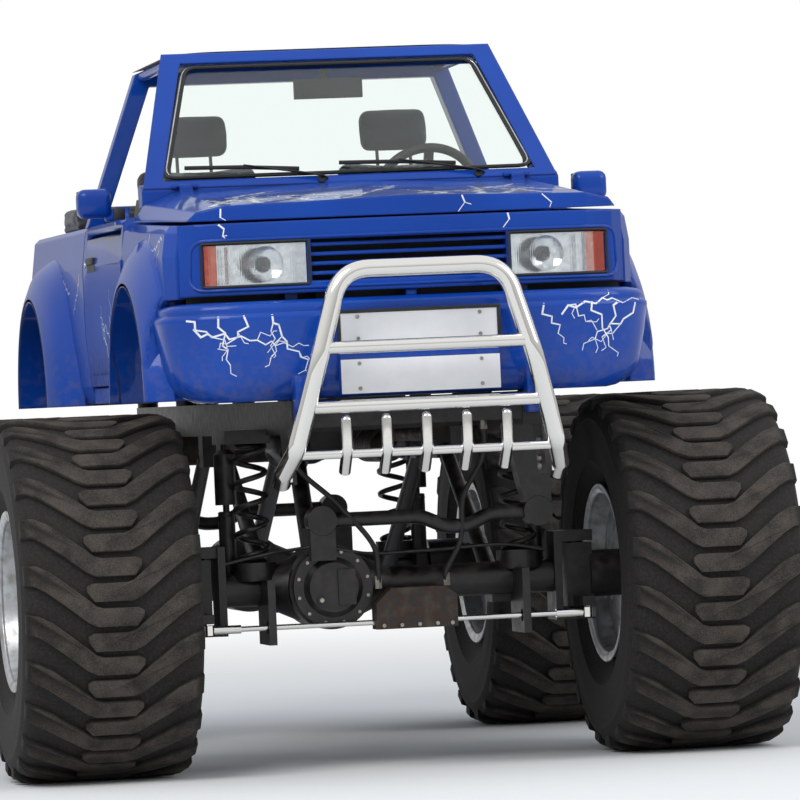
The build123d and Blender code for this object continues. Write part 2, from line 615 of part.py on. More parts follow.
def dashboard():
    """Dashboard with the steering column, and the inside mirror on its stem."""
    z = BONNET_AXIS_Z - 306
    front = BULKHEAD_Y + 15
    outline = [(front, z), (front, z + 240), (front + 18, z + 275), (front + 193, z + 275),
               (front + 263, z + 220), (front + 253, z + 110), (front + 173, z)]
    body = prism_x(outline, -INNER_X + 10, INNER_X - 10)
    column = column_plane() * fuse(Pos(0, 0, -92) * Cylinder(24, 130), Pos(0, 0, -20) * Cylinder(COLUMN_R, 60))
    z = HEADER_Z - 120
    mirror_glass = box(-118, 118, 700, 728, z - 48, z + 20)
    stem = fuse(box(-12, 12, 715, 790, z, z + 16), box(-12, 12, 775, 790, z, HEADER_Z - 40))
    return [fuse(body, column), fuse(mirror_glass, stem)]


def column_plane():
    """Origin at the middle of the steering wheel, looking along its column to the driver."""
    rake = math.radians(STEERING_RAKE)
    return Plane(origin=STEERING_WHEEL, x_dir=(1, 0, 0), z_dir=(0, math.cos(rake), math.sin(rake)))


def steering_wheel():
    ring = Torus(STEERING_WHEEL_R - 16, 16)
    hub = Cylinder(42, 44) - Pos(0, 0, -12) * Cylinder(COLUMN_R + RUNNING_FIT, 44)
    spokes = box(-172, -38, -16, 16, -8, 8) + box(38, 172, -16, 16, -8, 8) + box(-16, 16, -172, -38, -8, 8)
    return column_plane() * fuse(ring, hub, spokes)


def seats():
    parts = []
    for x in (-360, 360):
        cushion = box(x - 240, x + 240, 800, 1290, 1400, 1560)
        back = prism_x([(1240, 1540), (1360, 1540), (1480, 2080), (1390, 2080)], x - 235, x + 235)
        head = prism_x([(1395, 2080), (1475, 2080), (1500, 2250), (1410, 2250)], x - 130, x + 130)
        base = box(x - 200, x + 200, 850, 1250, FLOOR_Z + 10, 1400)
        parts.append(fuse(cushion, back, head, base))
    bench = fuse(box(-460, 460, 1750, 2150, 1500, 1620),
                 prism_x([(2120, 1600), (2230, 1600), (2280, 1855), (2190, 1855)], -460, 460),
                 box(-440, 440, 1800, 2100, FLOOR_Z + 10, 1500))
    parts.append(bench)
    return parts


# Power train

def engine_block():
    return box(-260, 260, -420, 180, RAIL_TOP + 10, BONNET_EDGE - 106)


def driveline():
    gearbox = box(-110, 110, 190, 760, 1130, 1288)
    return [gearbox]


def exhaust():
    return tube([(250, 300, 1092), (250, 1700, 1092), (250, 1800, 1060)], 28, 60)


def fuel_tank():
    return box(-365, 365, WHEELBASE + 100, WHEELBASE + 440, 1000, RAIL_BOTTOM)


PARTS = {
    "chassis_frame": chassis_frame,
    "body_tub": body_tub,
    "quarter_left": lambda: quarter(1),
    "quarter_right": lambda: quarter(-1),
    "windscreen_frame": windscreen_frame,
    "windscreen_glass": windscreen_glass,
    "roll_hoop": roll_hoop,
    "soft_top": soft_top,
    "wing_left": lambda: wing(1),
    "wing_right": lambda: wing(-1),
    "front_panel": front_panel,
    "headlamps": headlamps,
    "front_bumper": front_bumper,
    "bull_bar": bull_bar,
    "number_plates": number_plates,
    "bonnet": bonnet,
    "door_left": lambda: door(1),
    "door_right": lambda: door(-1),
    "tailgate": tailgate,
    "tail_lamps": tail_lamps,
    "rear_bumper": rear_bumper,
    "dashboard": dashboard,
    "steering_wheel": steering_wheel,
    "seats": seats,
    "front_axle": front_axle,
    "rear_axle": rear_axle,
    "steering_cylinder": steering_cylinder,
    "steering_rod": steering_rod,
    "knuckle_left": lambda: knuckle(1),
    "knuckle_right": lambda: knuckle(-1),
    "tyre_front_left": lambda: tyre(1, 0),
    "tyre_front_right": lambda: tyre(-1, 0),
    "tyre_rear_left": lambda: tyre(1, WHEELBASE),
    "tyre_rear_right": lambda: tyre(-1, WHEELBASE),
    "rim_front_left": lambda: rim(1, 0),
    "rim_front_right": lambda: rim(-1, 0),
    "rim_rear_left": lambda: rim(1, WHEELBASE),
    "rim_rear_right": lambda: rim(-1, WHEELBASE),
    "coil_springs": coil_springs,
    "shock_absorbers": shock_absorbers,
    "suspension_links": suspension_links,
    "engine_block": engine_block,
    "driveline": driveline,
    "exhaust": exhaust,
    "fuel_tank": fuel_tank,
}


def main():
    os.makedirs("parts", exist_ok=True)
    for name, make in PARTS.items():
        made = make()
        solids = []
        for piece in made if isinstance(made, list) else [made]:
            solids.extend(solid.moved(Location((0, FRONT_AXLE_Y, 0))) for solid in piece.solids())
        whole = solids[0] if len(solids) == 1 else Compound(children=solids)
        whole.label = name
        export_step(whole, os.path.join("parts", name + ".step"))


main()
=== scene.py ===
"""Looks for a lifted two-door show truck on flotation tyres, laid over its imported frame.

Sizes in the code are millimetres, with y measured back from the front axle, and
at() turns them into the frame's metres. The front faces -Y and the truck's left is +X.
"""
import json
import math
import random

import bmesh
import bpy
from bpy.props import FloatProperty, FloatVectorProperty, PointerProperty
from mathutils import Matrix, Vector
from mathutils.bvhtree import BVHTree


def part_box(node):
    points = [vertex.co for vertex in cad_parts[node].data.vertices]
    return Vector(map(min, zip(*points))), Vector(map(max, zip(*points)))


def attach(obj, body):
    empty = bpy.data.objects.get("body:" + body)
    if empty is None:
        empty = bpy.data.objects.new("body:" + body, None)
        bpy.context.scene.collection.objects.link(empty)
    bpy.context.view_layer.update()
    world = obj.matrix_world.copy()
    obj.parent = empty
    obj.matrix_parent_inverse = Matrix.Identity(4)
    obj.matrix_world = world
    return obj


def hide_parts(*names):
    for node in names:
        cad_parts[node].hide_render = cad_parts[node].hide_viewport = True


bl_info = {
    "name": "Show Truck Finish",
    "version": (1, 0, 0),
    "blender": (4, 5, 0),
    "location": "3D View > Sidebar > Show Truck",
    "description": "Paint, rubber, glass, trim and upholstery for a lifted show truck",
    "category": "Object",
}

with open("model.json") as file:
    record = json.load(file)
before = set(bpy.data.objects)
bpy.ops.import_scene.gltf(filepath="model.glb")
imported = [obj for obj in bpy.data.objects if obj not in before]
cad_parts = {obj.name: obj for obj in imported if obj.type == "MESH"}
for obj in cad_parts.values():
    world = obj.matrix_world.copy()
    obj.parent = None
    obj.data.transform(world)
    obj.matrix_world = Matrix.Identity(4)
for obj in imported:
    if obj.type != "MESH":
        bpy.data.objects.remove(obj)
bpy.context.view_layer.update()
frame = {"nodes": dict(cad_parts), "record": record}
MM = 0.001


def middle(node):
    """The centre of a CAD node's box."""
    low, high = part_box(node)
    return (low + high) / 2


FRONT_AXLE_Y = middle("tyre_front_left").y
REAR_AXLE_Y = middle("tyre_rear_left").y
WHEELBASE = (REAR_AXLE_Y - FRONT_AXLE_Y) / MM
AXLE_Z = middle("rim_front_left").z / MM
TYRE_R = (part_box("tyre_front_left")[1].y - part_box("tyre_front_left")[0].y) / 2
LUGS = 23
SIDES = ((-1, "right"), (1, "left"))


def at(x, y, z):
    """A point given in millimetres, y behind the front axle, in the frame's metres."""
    return Vector((x * MM, FRONT_AXLE_Y + y * MM, z * MM))


# Sizes and colours that a user would change

class StageSettings(bpy.types.PropertyGroup):
    floor_colour: FloatVectorProperty(
        name="Floor", description="Colour of the pale floor", subtype="COLOR", default=(0.83, 0.83, 0.82))
    sky_strength: FloatProperty(
        name="Sky", description="Strength of the even light all round", default=0.55, min=0)
    key_power: FloatProperty(
        name="Key light", description="Power of the large soft light", default=480, min=0)
    lens: FloatProperty(
        name="Lens", description="Focal length in millimetres on a 36 mm sensor", default=288.9)


class TruckSettings(bpy.types.PropertyGroup):
    seal_width: FloatProperty(
        name="Glass seal", description="Width of the windscreen's rubber", default=0.016, unit="LENGTH")
    hose_radius: FloatProperty(
        name="Hose radius", description="Radius of the hydraulic hoses", default=0.009, unit="LENGTH")
    cushion_pressure: FloatProperty(
        name="Cushion pressure", description="How hard the pads are filled", default=4)
    line_width: FloatProperty(
        name="Lightning line", description="Width of a line's start", default=0.006, unit="LENGTH")


# Small tools for finishes

def linear(code):
    """An sRGB hex colour as linear RGBA."""
    def channel(pair):
        value = int(pair, 16) / 255
        return value / 12.92 if value <= 0.04045 else ((value + 0.055) / 1.055) ** 2.4
    return tuple(channel(code[n:n + 2]) for n in (0, 2, 4)) + (1.0,)


def add(tree, kind, sockets=None, **settings):
    """Adds a node; a socket's value is a number or colour, or another node's output to link."""
    node = tree.nodes.new("ShaderNode" + kind)
    for name, value in settings.items():
        setattr(node, name, value)
    for name, value in (sockets or {}).items():
        if isinstance(value, bpy.types.NodeSocket):
            tree.links.new(value, node.inputs[name])
        else:
            node.inputs[name].default_value = value
    return node


def new_finish(name, **sockets):
    """A material with one Principled shader, its plain values set; returns its tree and shader."""
    finish = bpy.data.materials.new(name)
    finish.use_nodes = True
    tree = finish.node_tree
    shader = tree.nodes["Principled BSDF"]
    for label, value in sockets.items():
        shader.inputs[label.replace("_", " ")].default_value = value
    return tree, shader


def object_place(tree):
    """Object coordinates, which are the frame's metres."""
    return add(tree, "TexCoord").outputs["Object"]


def split(tree, vector=None):
    """The x, y and z of a vector, or of the object coordinates."""
    return add(tree, "SeparateXYZ", {0: vector or object_place(tree)}).outputs


def speckle(tree, size_mm, detail=3.0):
    """Noise whose patches are about the given size."""
    sockets = {"Vector": object_place(tree), "Scale": 1 / (size_mm * MM), "Detail": detail}
    return add(tree, "TexNoise", sockets).outputs["Fac"]


def step(tree, value, low, high, new_low=0.0, new_high=1.0):
    """Maps a value from one range to another, kept within it."""
    sockets = {"Value": value, "From Min": low, "From Max": high, "To Min": new_low, "To Max": new_high}
    return add(tree, "MapRange", sockets).outputs["Result"]


def blend(tree, share, first, second):
    """Mixes two colours, each an RGBA or a socket."""
    return add(tree, "Mix", {0: share, 6: first, 7: second}, data_type="RGBA").outputs[2]


def maths(tree, kind, *values):
    """One arithmetic step."""
    return add(tree, "Math", dict(enumerate(values)), operation=kind).outputs[0]


def bump(tree, shader, height, strength, distance_mm):
    """Gives a shader relief from a height."""
    sockets = {"Height": height, "Strength": strength, "Distance": distance_mm * MM}
    tree.links.new(add(tree, "Bump", sockets).outputs["Normal"], shader.inputs["Normal"])


def colour(tree, shader, source):
    tree.links.new(source, shader.inputs["Base Color"])


def rough(tree, shader, source):
    tree.links.new(source, shader.inputs["Roughness"])


# Finishes

def gloss_blue_enamel():
    """Two-coat royal blue enamel under clear coat, black underseal inside, dust low down."""
    tree, shader = new_finish("gloss_blue_enamel", Specular_IOR_Level=0.12, Coat_Weight=0.5,
                              Coat_Roughness=0.04)
    x, y, z = split(tree)
    side = maths(tree, "ABSOLUTE", x)
    # The coat lies a little unevenly, which gives the blue slow, soft changes of depth
    base = blend(tree, speckle(tree, 420, 2.0), linear("01348A"), linear("044AB2"))
    # Pale dust thrown up on the lower edges
    patches = step(tree, speckle(tree, 30, 5.0), 0.45, 0.8, 0, 0.45)
    dust = maths(tree, "MULTIPLY", step(tree, z, 1.5, 1.22), patches)
    # Wheel arches and the floor's underside are sprayed with black underseal
    wide, front, back, top = 0.7035, FRONT_AXLE_Y - 0.488, FRONT_AXLE_Y + 2.735, 1.66
    inside = maths(tree, "LESS_THAN", side, wide)
    for kind, value, limit in (("LESS_THAN", z, top), ("GREATER_THAN", y, front), ("LESS_THAN", y, back)):
        inside = maths(tree, "MULTIPLY", inside, maths(tree, kind, value, limit))
    dusted = blend(tree, dust, base, linear("6E6255"))
    colour(tree, shader, blend(tree, inside, dusted, linear("101011")))
    dull = maths(tree, "MULTIPLY", inside, 0.8)
    rough(tree, shader, maths(tree, "MAXIMUM", step(tree, dust, 0, 0.45, 0.42, 0.75), dull))
    # Folded and pressed edges catch the light as soft bends
    soft = add(tree, "Bevel", {"Radius": 11 * MM}, samples=4).outputs[0]
    tree.links.new(soft, shader.inputs["Normal"])
    tree.links.new(soft, shader.inputs["Coat Normal"])


def polished_tube():
    """Mirror-polished stainless tube with faint wipe marks."""
    tree, shader = new_finish("polished_stainless_tube", Base_Color=linear("E2E1DE"), Metallic=1.0)
    rough(tree, shader, step(tree, speckle(tree, 60, 4.0), 0.35, 0.75, 0.05, 0.14))


def tyre_rubber():
    """Moulded rubber: worn grey lug tops with earth dust, darker floors and matt side walls."""
    tree, shader = new_finish("moulded_tyre_rubber", Roughness=0.86)
    y, z = split(tree)[1:]
    centre = (FRONT_AXLE_Y + REAR_AXLE_Y) / 2
    along = maths(tree, "ABSOLUTE", maths(tree, "SUBTRACT", y, centre))
    reach = maths(tree, "SUBTRACT", along, WHEELBASE * MM / 2)
    height = maths(tree, "SUBTRACT", z, AXLE_Z * MM)
    arm = add(tree, "CombineXYZ", {"X": reach, "Y": height}).outputs[0]
    radius = add(tree, "VectorMath", {0: arm}, operation="LENGTH").outputs["Value"]
    top = step(tree, radius, TYRE_R - 0.016, TYRE_R - 0.006)
    grain = speckle(tree, 9, 6.0)
    worn = maths(tree, "ADD", speckle(tree, 4, 3.0), speckle(tree, 70, 4.0))
    dusty = blend(tree, step(tree, worn, 0.8, 1.25), linear("1F1C1A"), linear("4C443D"))
    floor = blend(tree, step(tree, grain, 0.4, 0.75), linear("100F0E"), linear("2A2521"))
    colour(tree, shader, blend(tree, top, floor, dusty))
    bump(tree, shader, maths(tree, "ADD", grain, speckle(tree, 2.5, 2.0)), 0.5, 1.2)


def wheel_enamel():
    """Sprayed silver wheel enamel with fine flake and dust near the rim."""
    tree, shader = new_finish("silver_wheel_enamel", Metallic=0.75, Coat_Weight=0.3)
    dust = step(tree, speckle(tree, 38, 5.0), 0.42, 0.8)
    colour(tree, shader, blend(tree, dust, linear("B9BCC0"), linear("8A7F72")))
    rough(tree, shader, step(tree, dust, 0, 1, 0.3, 0.6))
    bump(tree, shader, speckle(tree, 3, 2.0), 0.08, 0.3)


def clear_glass():
    """Laminated windscreen glass: clear, faintly green, with a light film of dust in patches."""
    tree, shader = new_finish("laminated_glass", Base_Color=linear("F1FAF6"), Transmission_Weight=1.0,
                              IOR=1.5)
    rough(tree, shader, step(tree, speckle(tree, 70, 4.0), 0.55, 0.8, 0.0, 0.04))


def lamp_lens():
    """Pressed lamp glass: clear and fluted over its bowl, with the amber flasher glass outboard."""
    flute, flasher_x = 7 * MM, 0.622
    tree, shader = new_finish("fluted_lamp_glass", Transmission_Weight=0.92, Roughness=0.02, IOR=1.3)
    side = maths(tree, "ABSOLUTE", split(tree)[0])
    outer = maths(tree, "GREATER_THAN", side, flasher_x)
    colour(tree, shader, blend(tree, outer, linear("F6F9FA"), linear("E09282")))
    wave = maths(tree, "SINE", maths(tree, "MULTIPLY", side, 2 * math.pi / flute))
    bump(tree, shader, wave, 0.45, 0.8)


def simple_finish(name, dark, light, size_mm, roughness, relief, grain_mm, **plain):
    """A finish of two close shades in patches, with a fine grain in relief."""
    tree, shader = new_finish(name, **plain)
    patches = step(tree, speckle(tree, size_mm, 5.0), 0.35, 0.72)
    colour(tree, shader, blend(tree, patches, linear(dark), linear(light)))
    rough(tree, shader, step(tree, patches, 0, 1, roughness - 0.06, roughness + 0.06))
    bump(tree, shader, speckle(tree, grain_mm, 3.0), relief, 0.6)


def woven(name, dark, light, thread_mm, relief, **plain):
    """Plain-weave cloth: threads cross at the given spacing, over a slow change of shade."""
    tree, shader = new_finish(name, Roughness=0.92, Sheen_Weight=0.35, **plain)
    turned = add(tree, "Mapping", {"Vector": object_place(tree), "Rotation": (0.2, 0.35, 0.1)}).outputs[0]
    x, y, z = split(tree, turned)
    turn = 2 * math.pi / (thread_mm * MM)
    warp = maths(tree, "SINE", maths(tree, "MULTIPLY", x, turn))
    weft = maths(tree, "SINE", maths(tree, "MULTIPLY", maths(tree, "ADD", y, z), turn))
    height = maths(tree, "MULTIPLY", warp, weft)
    shade = step(tree, maths(tree, "ADD", height, speckle(tree, 60, 3.0)), -0.6, 1.6)
    colour(tree, shader, blend(tree, shade, linear(dark), linear(light)))
    bump(tree, shader, height, relief, thread_mm * 0.3)


def rusted_guard():
    """Hot-rolled plate with scuffed paint, brown rust and caked earth."""
    tree, shader = new_finish("rusted_guard_plate", Metallic=0.35)
    rust = step(tree, speckle(tree, 26, 6.0), 0.4, 0.62)
    base = blend(tree, rust, linear("2F2D2D"), linear("4A382E"))
    earth = step(tree, speckle(tree, 60, 5.0), 0.5, 0.7, 0, 0.55)
    colour(tree, shader, blend(tree, earth, base, linear("5E5246")))
    rough(tree, shader, step(tree, rust, 0, 1, 0.5, 0.85))
    bump(tree, shader, speckle(tree, 5, 5.0), 0.4, 0.8)


def black_underbody(name, metallic):
    """Brushed-on black chassis paint: satin, greyed by fine road dust on what faces up."""
    tree, shader = new_finish(name, Metallic=metallic)
    up = split(tree, add(tree, "NewGeometry").outputs["Normal"])[2]
    patches = step(tree, speckle(tree, 34, 5.0), 0.4, 0.8)
    dust = maths(tree, "MULTIPLY", step(tree, up, -0.2, 0.9, 0.15, 0.8), patches)
    colour(tree, shader, blend(tree, dust, linear("161617"), linear("5C5248")))
    rough(tree, shader, step(tree, dust, 0, 0.8, 0.38, 0.8))
    bump(tree, shader, speckle(tree, 12, 4.0), 0.2, 0.8)


FINISH_OF_SLOT = {
    "body_paint": "gloss_blue_enamel",
    "frame_paint": "black_chassis_enamel",
    "polished_tube": "polished_stainless_tube",
    "tyre_rubber": "moulded_tyre_rubber",
    "rim_silver": "silver_wheel_enamel",
    "clear_glass": "laminated_glass",
    "lamp_glass": "fluted_lamp_glass",
    "tail_lamp_red": "red_lamp_acrylic",
    "plate_white": "white_plate_sheet",
    "soft_top_cloth": "coated_top_cloth",
    "cabin_plastic": "grained_cabin_plastic",
    "seat_cloth": "woven_seat_cloth",
    "guard_steel": "rusted_guard_plate",
    "cast_metal": "painted_cast_iron",
}


class TRUCK_OT_finishes(bpy.types.Operator):
    """Makes every finish and puts it on the frame's own pieces"""
    bl_idname = "truck.finishes"
    bl_label = "Finishes"

    def execute(self, context):
        for finish in (gloss_blue_enamel, polished_tube, tyre_rubber, wheel_enamel, clear_glass, lamp_lens,
                       rusted_guard):
            finish()
        black_underbody("black_chassis_enamel", 0.0)
        black_underbody("painted_cast_iron", 0.3)
        woven("coated_top_cloth", "0D0D0E", "232325", 2.4, 0.3)
        woven("woven_seat_cloth", "15161A", "33363D", 3.2, 0.5)
        simple_finish("red_lamp_acrylic", "7A0A08", "9A1510", 40, 0.12, 0.05, 6, Coat_Weight=0.6)
        simple_finish("white_plate_sheet", "ECECEE", "F2F2F3", 50, 0.35, 0.03, 3, Coat_Weight=0.2)
        simple_finish("grained_cabin_plastic", "18181A", "2A2A2D", 80, 0.55, 0.3, 2)
        simple_finish("white_line_vinyl", "E2E7EE", "F4F6F9", 30, 0.35, 0.05, 3, Coat_Weight=0.5)
        simple_finish("black_seal_rubber", "0B0B0C", "1B1B1C", 30, 0.6, 0.2, 3)
        simple_finish("anodised_trim", "B4B7BB", "D3D5D8", 40, 0.28, 0.05, 2, Metallic=1.0)
        simple_finish("zinc_fastener", "8E8A80", "B5B2AB", 14, 0.42, 0.2, 2, Metallic=0.9)
        simple_finish("spun_reflector", "CFD2D6", "ECEEF0", 20, 0.12, 0.05, 4, Metallic=1.0)
        simple_finish("black_hose_rubber", "111112", "2A2825", 22, 0.6, 0.25, 2)
        for node, piece in frame["nodes"].items():
            for place in piece.material_slots:
                place.material = bpy.data.materials[FINISH_OF_SLOT[slot_of(node)]]
        return {"FINISHED"}


def slot_of(node):
    """The record's material slot of a CAD node."""
    for part in frame["record"]["subparts"]:
        if part.get("node", part.get("name")) == node:
            return part["material_slot"]
    raise RuntimeError("no slot for " + node)


# The stage

class TRUCK_OT_stage(bpy.types.Operator):
    """Adds the camera, the soft lights, the sky and the pale floor"""
    bl_idname = "truck.stage"
    bl_label = "Stage"

    def execute(self, context):
        settings = context.scene.truck_stage
        camera = bpy.data.objects.new("camera", bpy.data.cameras.new("camera"))
        right = Vector((0.98139005, -0.18690795, -0.04403404))
        up = Vector((0.04328676, -0.00807953, 0.99903002))
        ahead = Vector((0.18708243, 0.98234421, -0.00016147))
        turn = Matrix((right, up, -ahead)).transposed().to_4x4()
        camera.matrix_world = Matrix.Translation((-3.9303, -21.9764, 1.2106)) @ turn
        camera.data.lens = settings.lens
        camera.data.sensor_width = 36
        camera.data.clip_end = 200
        context.scene.collection.objects.link(camera)
        context.scene.camera = camera
        context.scene.view_settings.view_transform = "Standard"
        self.sky(context.scene, settings)
        self.floor(settings)
        for name, place, size, power in (("key_light", (-5, -7, 8), 5, settings.key_power),
                                         ("fill_light", (6, -5, 5), 4, settings.key_power * 0.35)):
            data = bpy.data.lights.new(name, "AREA")
            data.size = size
            data.energy = power
            lamp = bpy.data.objects.new(name, data)
            aim = Vector((0, 0, 1)) - Vector(place)
            lamp.matrix_world = Matrix.Translation(place) @ aim.to_track_quat("-Z", "Y").to_matrix().to_4x4()
            context.scene.collection.objects.link(lamp)
        return {"FINISHED"}

    def rays(self, tree):
        """Which rays mirror the backdrop, and which see it straight or through glass."""
        path = add(tree, "LightPath").outputs
        seen = maths(tree, "MAXIMUM", path["Is Camera Ray"], path["Is Transmission Ray"])
        return path["Is Glossy Ray"], seen

    def sky(self, scene, settings):
        """Soft light from all round, stronger from above, seen as white, also through glass."""
        world = bpy.data.worlds.new("sky")
        scene.world = world
        world.use_nodes = True
        tree = world.node_tree
        tree.nodes.clear()
        up = split(tree, add(tree, "TexCoord").outputs["Generated"])[2]
        glossy, seen = self.rays(tree)
        # Polished metal and paint mirror the same backdrop, a little greyer towards the horizon
        mirrored_sky = step(tree, up, 0.0, 0.5, 0.5, 1.0)
        strength = maths(tree, "MAXIMUM", maths(tree, "MULTIPLY", glossy, mirrored_sky), seen)
        plain = maths(tree, "SUBTRACT", 1.0, maths(tree, "MAXIMUM", glossy, seen))
        even = maths(tree, "MULTIPLY", plain, step(tree, up, 0.0, 0.8, settings.sky_strength * 0.6,
                                                    settings.sky_strength * 1.5))
        light = add(tree, "Background", {"Color": linear("EAF0F8"), "Strength": even})
        white = add(tree, "Background", {"Color": linear("FFFFFF"), "Strength": strength})
        both = add(tree, "AddShader", {0: light.outputs[0], 1: white.outputs[0]})
        add(tree, "OutputWorld", {"Surface": both.outputs[0]})

    def floor(self, settings):
        """A wide disc that keeps the truck's shadow and turns to white far away."""
        form = bmesh.new()
        bmesh.ops.create_circle(form, cap_ends=True, radius=60, segments=64)
        floor = object_from("floor", form)
        finish = bpy.data.materials.new("pale_floor")
        finish.use_nodes = True
        tree = finish.node_tree
        tree.nodes.clear()
        reach = add(tree, "VectorMath", {0: object_place(tree)}, operation="LENGTH").outputs["Value"]
        far = step(tree, reach, 4, 13)
        near = add(tree, "BsdfDiffuse", {"Color": (*settings.floor_colour, 1)})
        white = add(tree, "Emission", {"Color": linear("FFFFFF"), "Strength": 1.0})
        glossy, seen = self.rays(tree)
        share = maths(tree, "MULTIPLY", far, maths(tree, "MAXIMUM", glossy, seen))
        both = add(tree, "MixShader", {0: share, 1: near.outputs[0], 2: white.outputs[0]})
        add(tree, "OutputMaterial", {"Surface": both.outputs[0]})
        floor.data.materials.append(finish)


# Small tools for pieces

def object_from(name, form):
    """Puts a bmesh into a new object of the scene and lets the bmesh go."""
    mesh = bpy.data.meshes.new(name)
    form.to_mesh(mesh)
    form.free()
    made = bpy.data.objects.new(name, mesh)
    bpy.context.scene.collection.objects.link(made)
    return made


def piece_from(name, form, look, body="chassis", smooth=40, recalc=True):
    """Makes a bmesh a piece on a body; its look is a slot's finish, or a finish named outright."""
    if recalc:
        bmesh.ops.recalc_face_normals(form, faces=form.faces)
    piece = object_from(name, form)
    shade(piece, look)
    piece.data.set_sharp_from_angle(angle=math.radians(smooth))
    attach(piece, body)
    return piece


def shade(piece, look):
    """Smooths a piece's faces and gives it its finish."""
    for face in piece.data.polygons:
        face.use_smooth = True
    piece.data.materials.append(bpy.data.materials[FINISH_OF_SLOT.get(look, look)])


def fitted(name, form, look, body, node, smooth=40):
    """A piece that takes the place of a plain CAD node."""
    piece = piece_from(name, form, look, body, smooth)
    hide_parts(node)


def copied(mesh):
    """A bmesh of a mesh with its doubled corners merged."""
    form = bmesh.new()
    form.from_mesh(mesh)
    bmesh.ops.remove_doubles(form, verts=form.verts, dist=1e-5)
    return form


def surface_of(mesh):
    """A mesh as a surface that rays can land on."""
    return BVHTree.FromPolygons([vert.co for vert in mesh.vertices],
                                [face.vertices for face in mesh.polygons])


def edges_at(verts):
    """Every edge that meets the corners."""
    return list({edge for vert in verts for edge in vert.link_edges})


def soften(form, edges, width, segments=2):
    """Rounds edges off; returns the corners that this makes."""
    return bmesh.ops.bevel(form, geom=edges, offset=width, segments=segments, affect="EDGES", profile=0.5,
                           material=-1)["verts"]


def aimed(start, end):
    """A matrix at the middle of two points whose Z runs along them."""
    along = end - start
    return Matrix.Translation((start + end) / 2) @ along.to_track_quat("Z", "Y").to_matrix().to_4x4()


def bar(form, start, end, radius, end_radius=None, sides=20):
    """A round bar or cone between two points."""
    bmesh.ops.create_cone(form, cap_ends=True, segments=sides, radius1=radius,
                          radius2=radius if end_radius is None else end_radius,
                          depth=(end - start).length, matrix=aimed(start, end))


def block(form, low, high, edge=0.0, segments=2, turn=None):
    """A block between two corners with its edges rounded."""
    size = high - low
    matrix = Matrix.Translation((low + high) / 2) @ (turn or Matrix.Identity(4)) @ Matrix.Diagonal((*size, 1))
    made = bmesh.ops.create_cube(form, size=1, matrix=matrix)
    if edge:
        soften(form, edges_at(made["verts"]), edge, segments)


def side_block(form, side, low, high, edge=0.0, segments=2):
    """A block given in millimetres for the left side, or its twin on the right."""
    x0, x1 = sorted((side * low[0], side * high[0]))
    block(form, at(x0, *low[1:]), at(x1, *high[1:]), edge * MM, segments)


def ball(form, centre, radius, segments=20, rings=12):
    bmesh.ops.create_uvsphere(form, u_segments=segments, v_segments=rings, radius=radius,
                              matrix=Matrix.Translation(centre))


def chain(form, points, closed=False):
    """Corners at the points, and the edges that join them in a row."""
    verts = [form.verts.new(point) for point in points]
    ends = verts[1:] + (verts[:1] if closed else [])
    return verts, [form.edges.new(pair) for pair in zip(verts, ends)]


def spin(form, parts, steps, angle=2 * math.pi, axis=(1, 0, 0), merge=True, copies=False):
    """Turns parts about an axis through the origin, as one skin or as copies."""
    bmesh.ops.spin(form, geom=parts, cent=(0, 0, 0), axis=axis, angle=angle, steps=steps,
                   use_merge=merge, use_duplicate=copies)


def sweep(form, path, radius, sides=12, closed=False, squash=1.0):
    """A round or flattened tube along a path: rings made at each point and bridged."""
    rings = []
    count = len(path)
    for n, point in enumerate(path):
        before = path[n - 1] if n or closed else point
        after = path[(n + 1) % count] if n + 1 < count or closed else point
        turn = (after - before).to_track_quat("Z", "Y").to_matrix().to_4x4()
        matrix = Matrix.Translation(point) @ turn @ Matrix.Diagonal((1, squash, 1, 1))
        ring = bmesh.ops.create_circle(form, radius=radius, segments=sides, matrix=matrix)
        rings.append(edges_at(ring["verts"]))
    pairs = list(zip(rings, rings[1:]))
    if closed:
        pairs.append((rings[-1], rings[0]))
    for first, second in pairs:
        bmesh.ops.bridge_loops(form, edges=first + second)
    if not closed:
        for ring in (rings[0], rings[-1]):
            bmesh.ops.contextual_create(form, geom=ring)


def corner_path(start, corner, end, steps):
    """A soft path from start to end that leans towards the corner."""
    shares = [k / steps for k in range(steps + 1)]
    return [start * (1 - t) ** 2 + corner * 2 * t * (1 - t) + end * t ** 2 for t in shares]


def rounded(outline, radius, step_mm):
    """A closed outline of (u, v) points with its corners rounded, in steps of about the length given."""
    path = []
    count = len(outline)
    for n in range(count):
        before, corner, after = (Vector(outline[(n + k) % count]) for k in (-1, 0, 1))
        start = corner + (before - corner).normalized() * radius
        end = corner + (after - corner).normalized() * radius
        path += corner_path(start, corner, end, 4)
        run = after + (corner - after).normalized() * radius - end
        pieces = max(int(run.length / step_mm), 1)
        path.extend(end + run * k / pieces for k in range(1, pieces))
    return path


def smooth_path(points, steps=8):
    """A flowing path through the points, for hoses and trims."""
    path = []
    for n in range(len(points) - 1):
        p0 = points[max(n - 1, 0)]
        p1, p2 = points[n], points[n + 1]
        p3 = points[min(n + 2, len(points) - 1)]
        for k in range(steps):
            t = k / steps
            path.append(0.5 * (2 * p1 + (p2 - p0) * t + (2 * p0 - 5 * p1 + 4 * p2 - p3) * t ** 2
                               + (3 * p1 - p0 - 3 * p2 + p3) * t ** 3))
    return path + [points[-1]]


def bent(points, bends, steps=6):
    """A path of straight runs through the points, with each corner rounded by about its bend radius."""
    path = [points[0]]
    for n, bend in enumerate(bends, 1):
        before, after = points[n - 1] - points[n], points[n + 1] - points[n]
        turn = math.pi - before.angle(after)
        trim = min(bend * math.tan(turn / 2), 0.48 * before.length, 0.48 * after.length)
        start, end = points[n] + before.normalized() * trim, points[n] + after.normalized() * trim
        path += corner_path(start, points[n], end, steps)
    return path + [points[-1]]


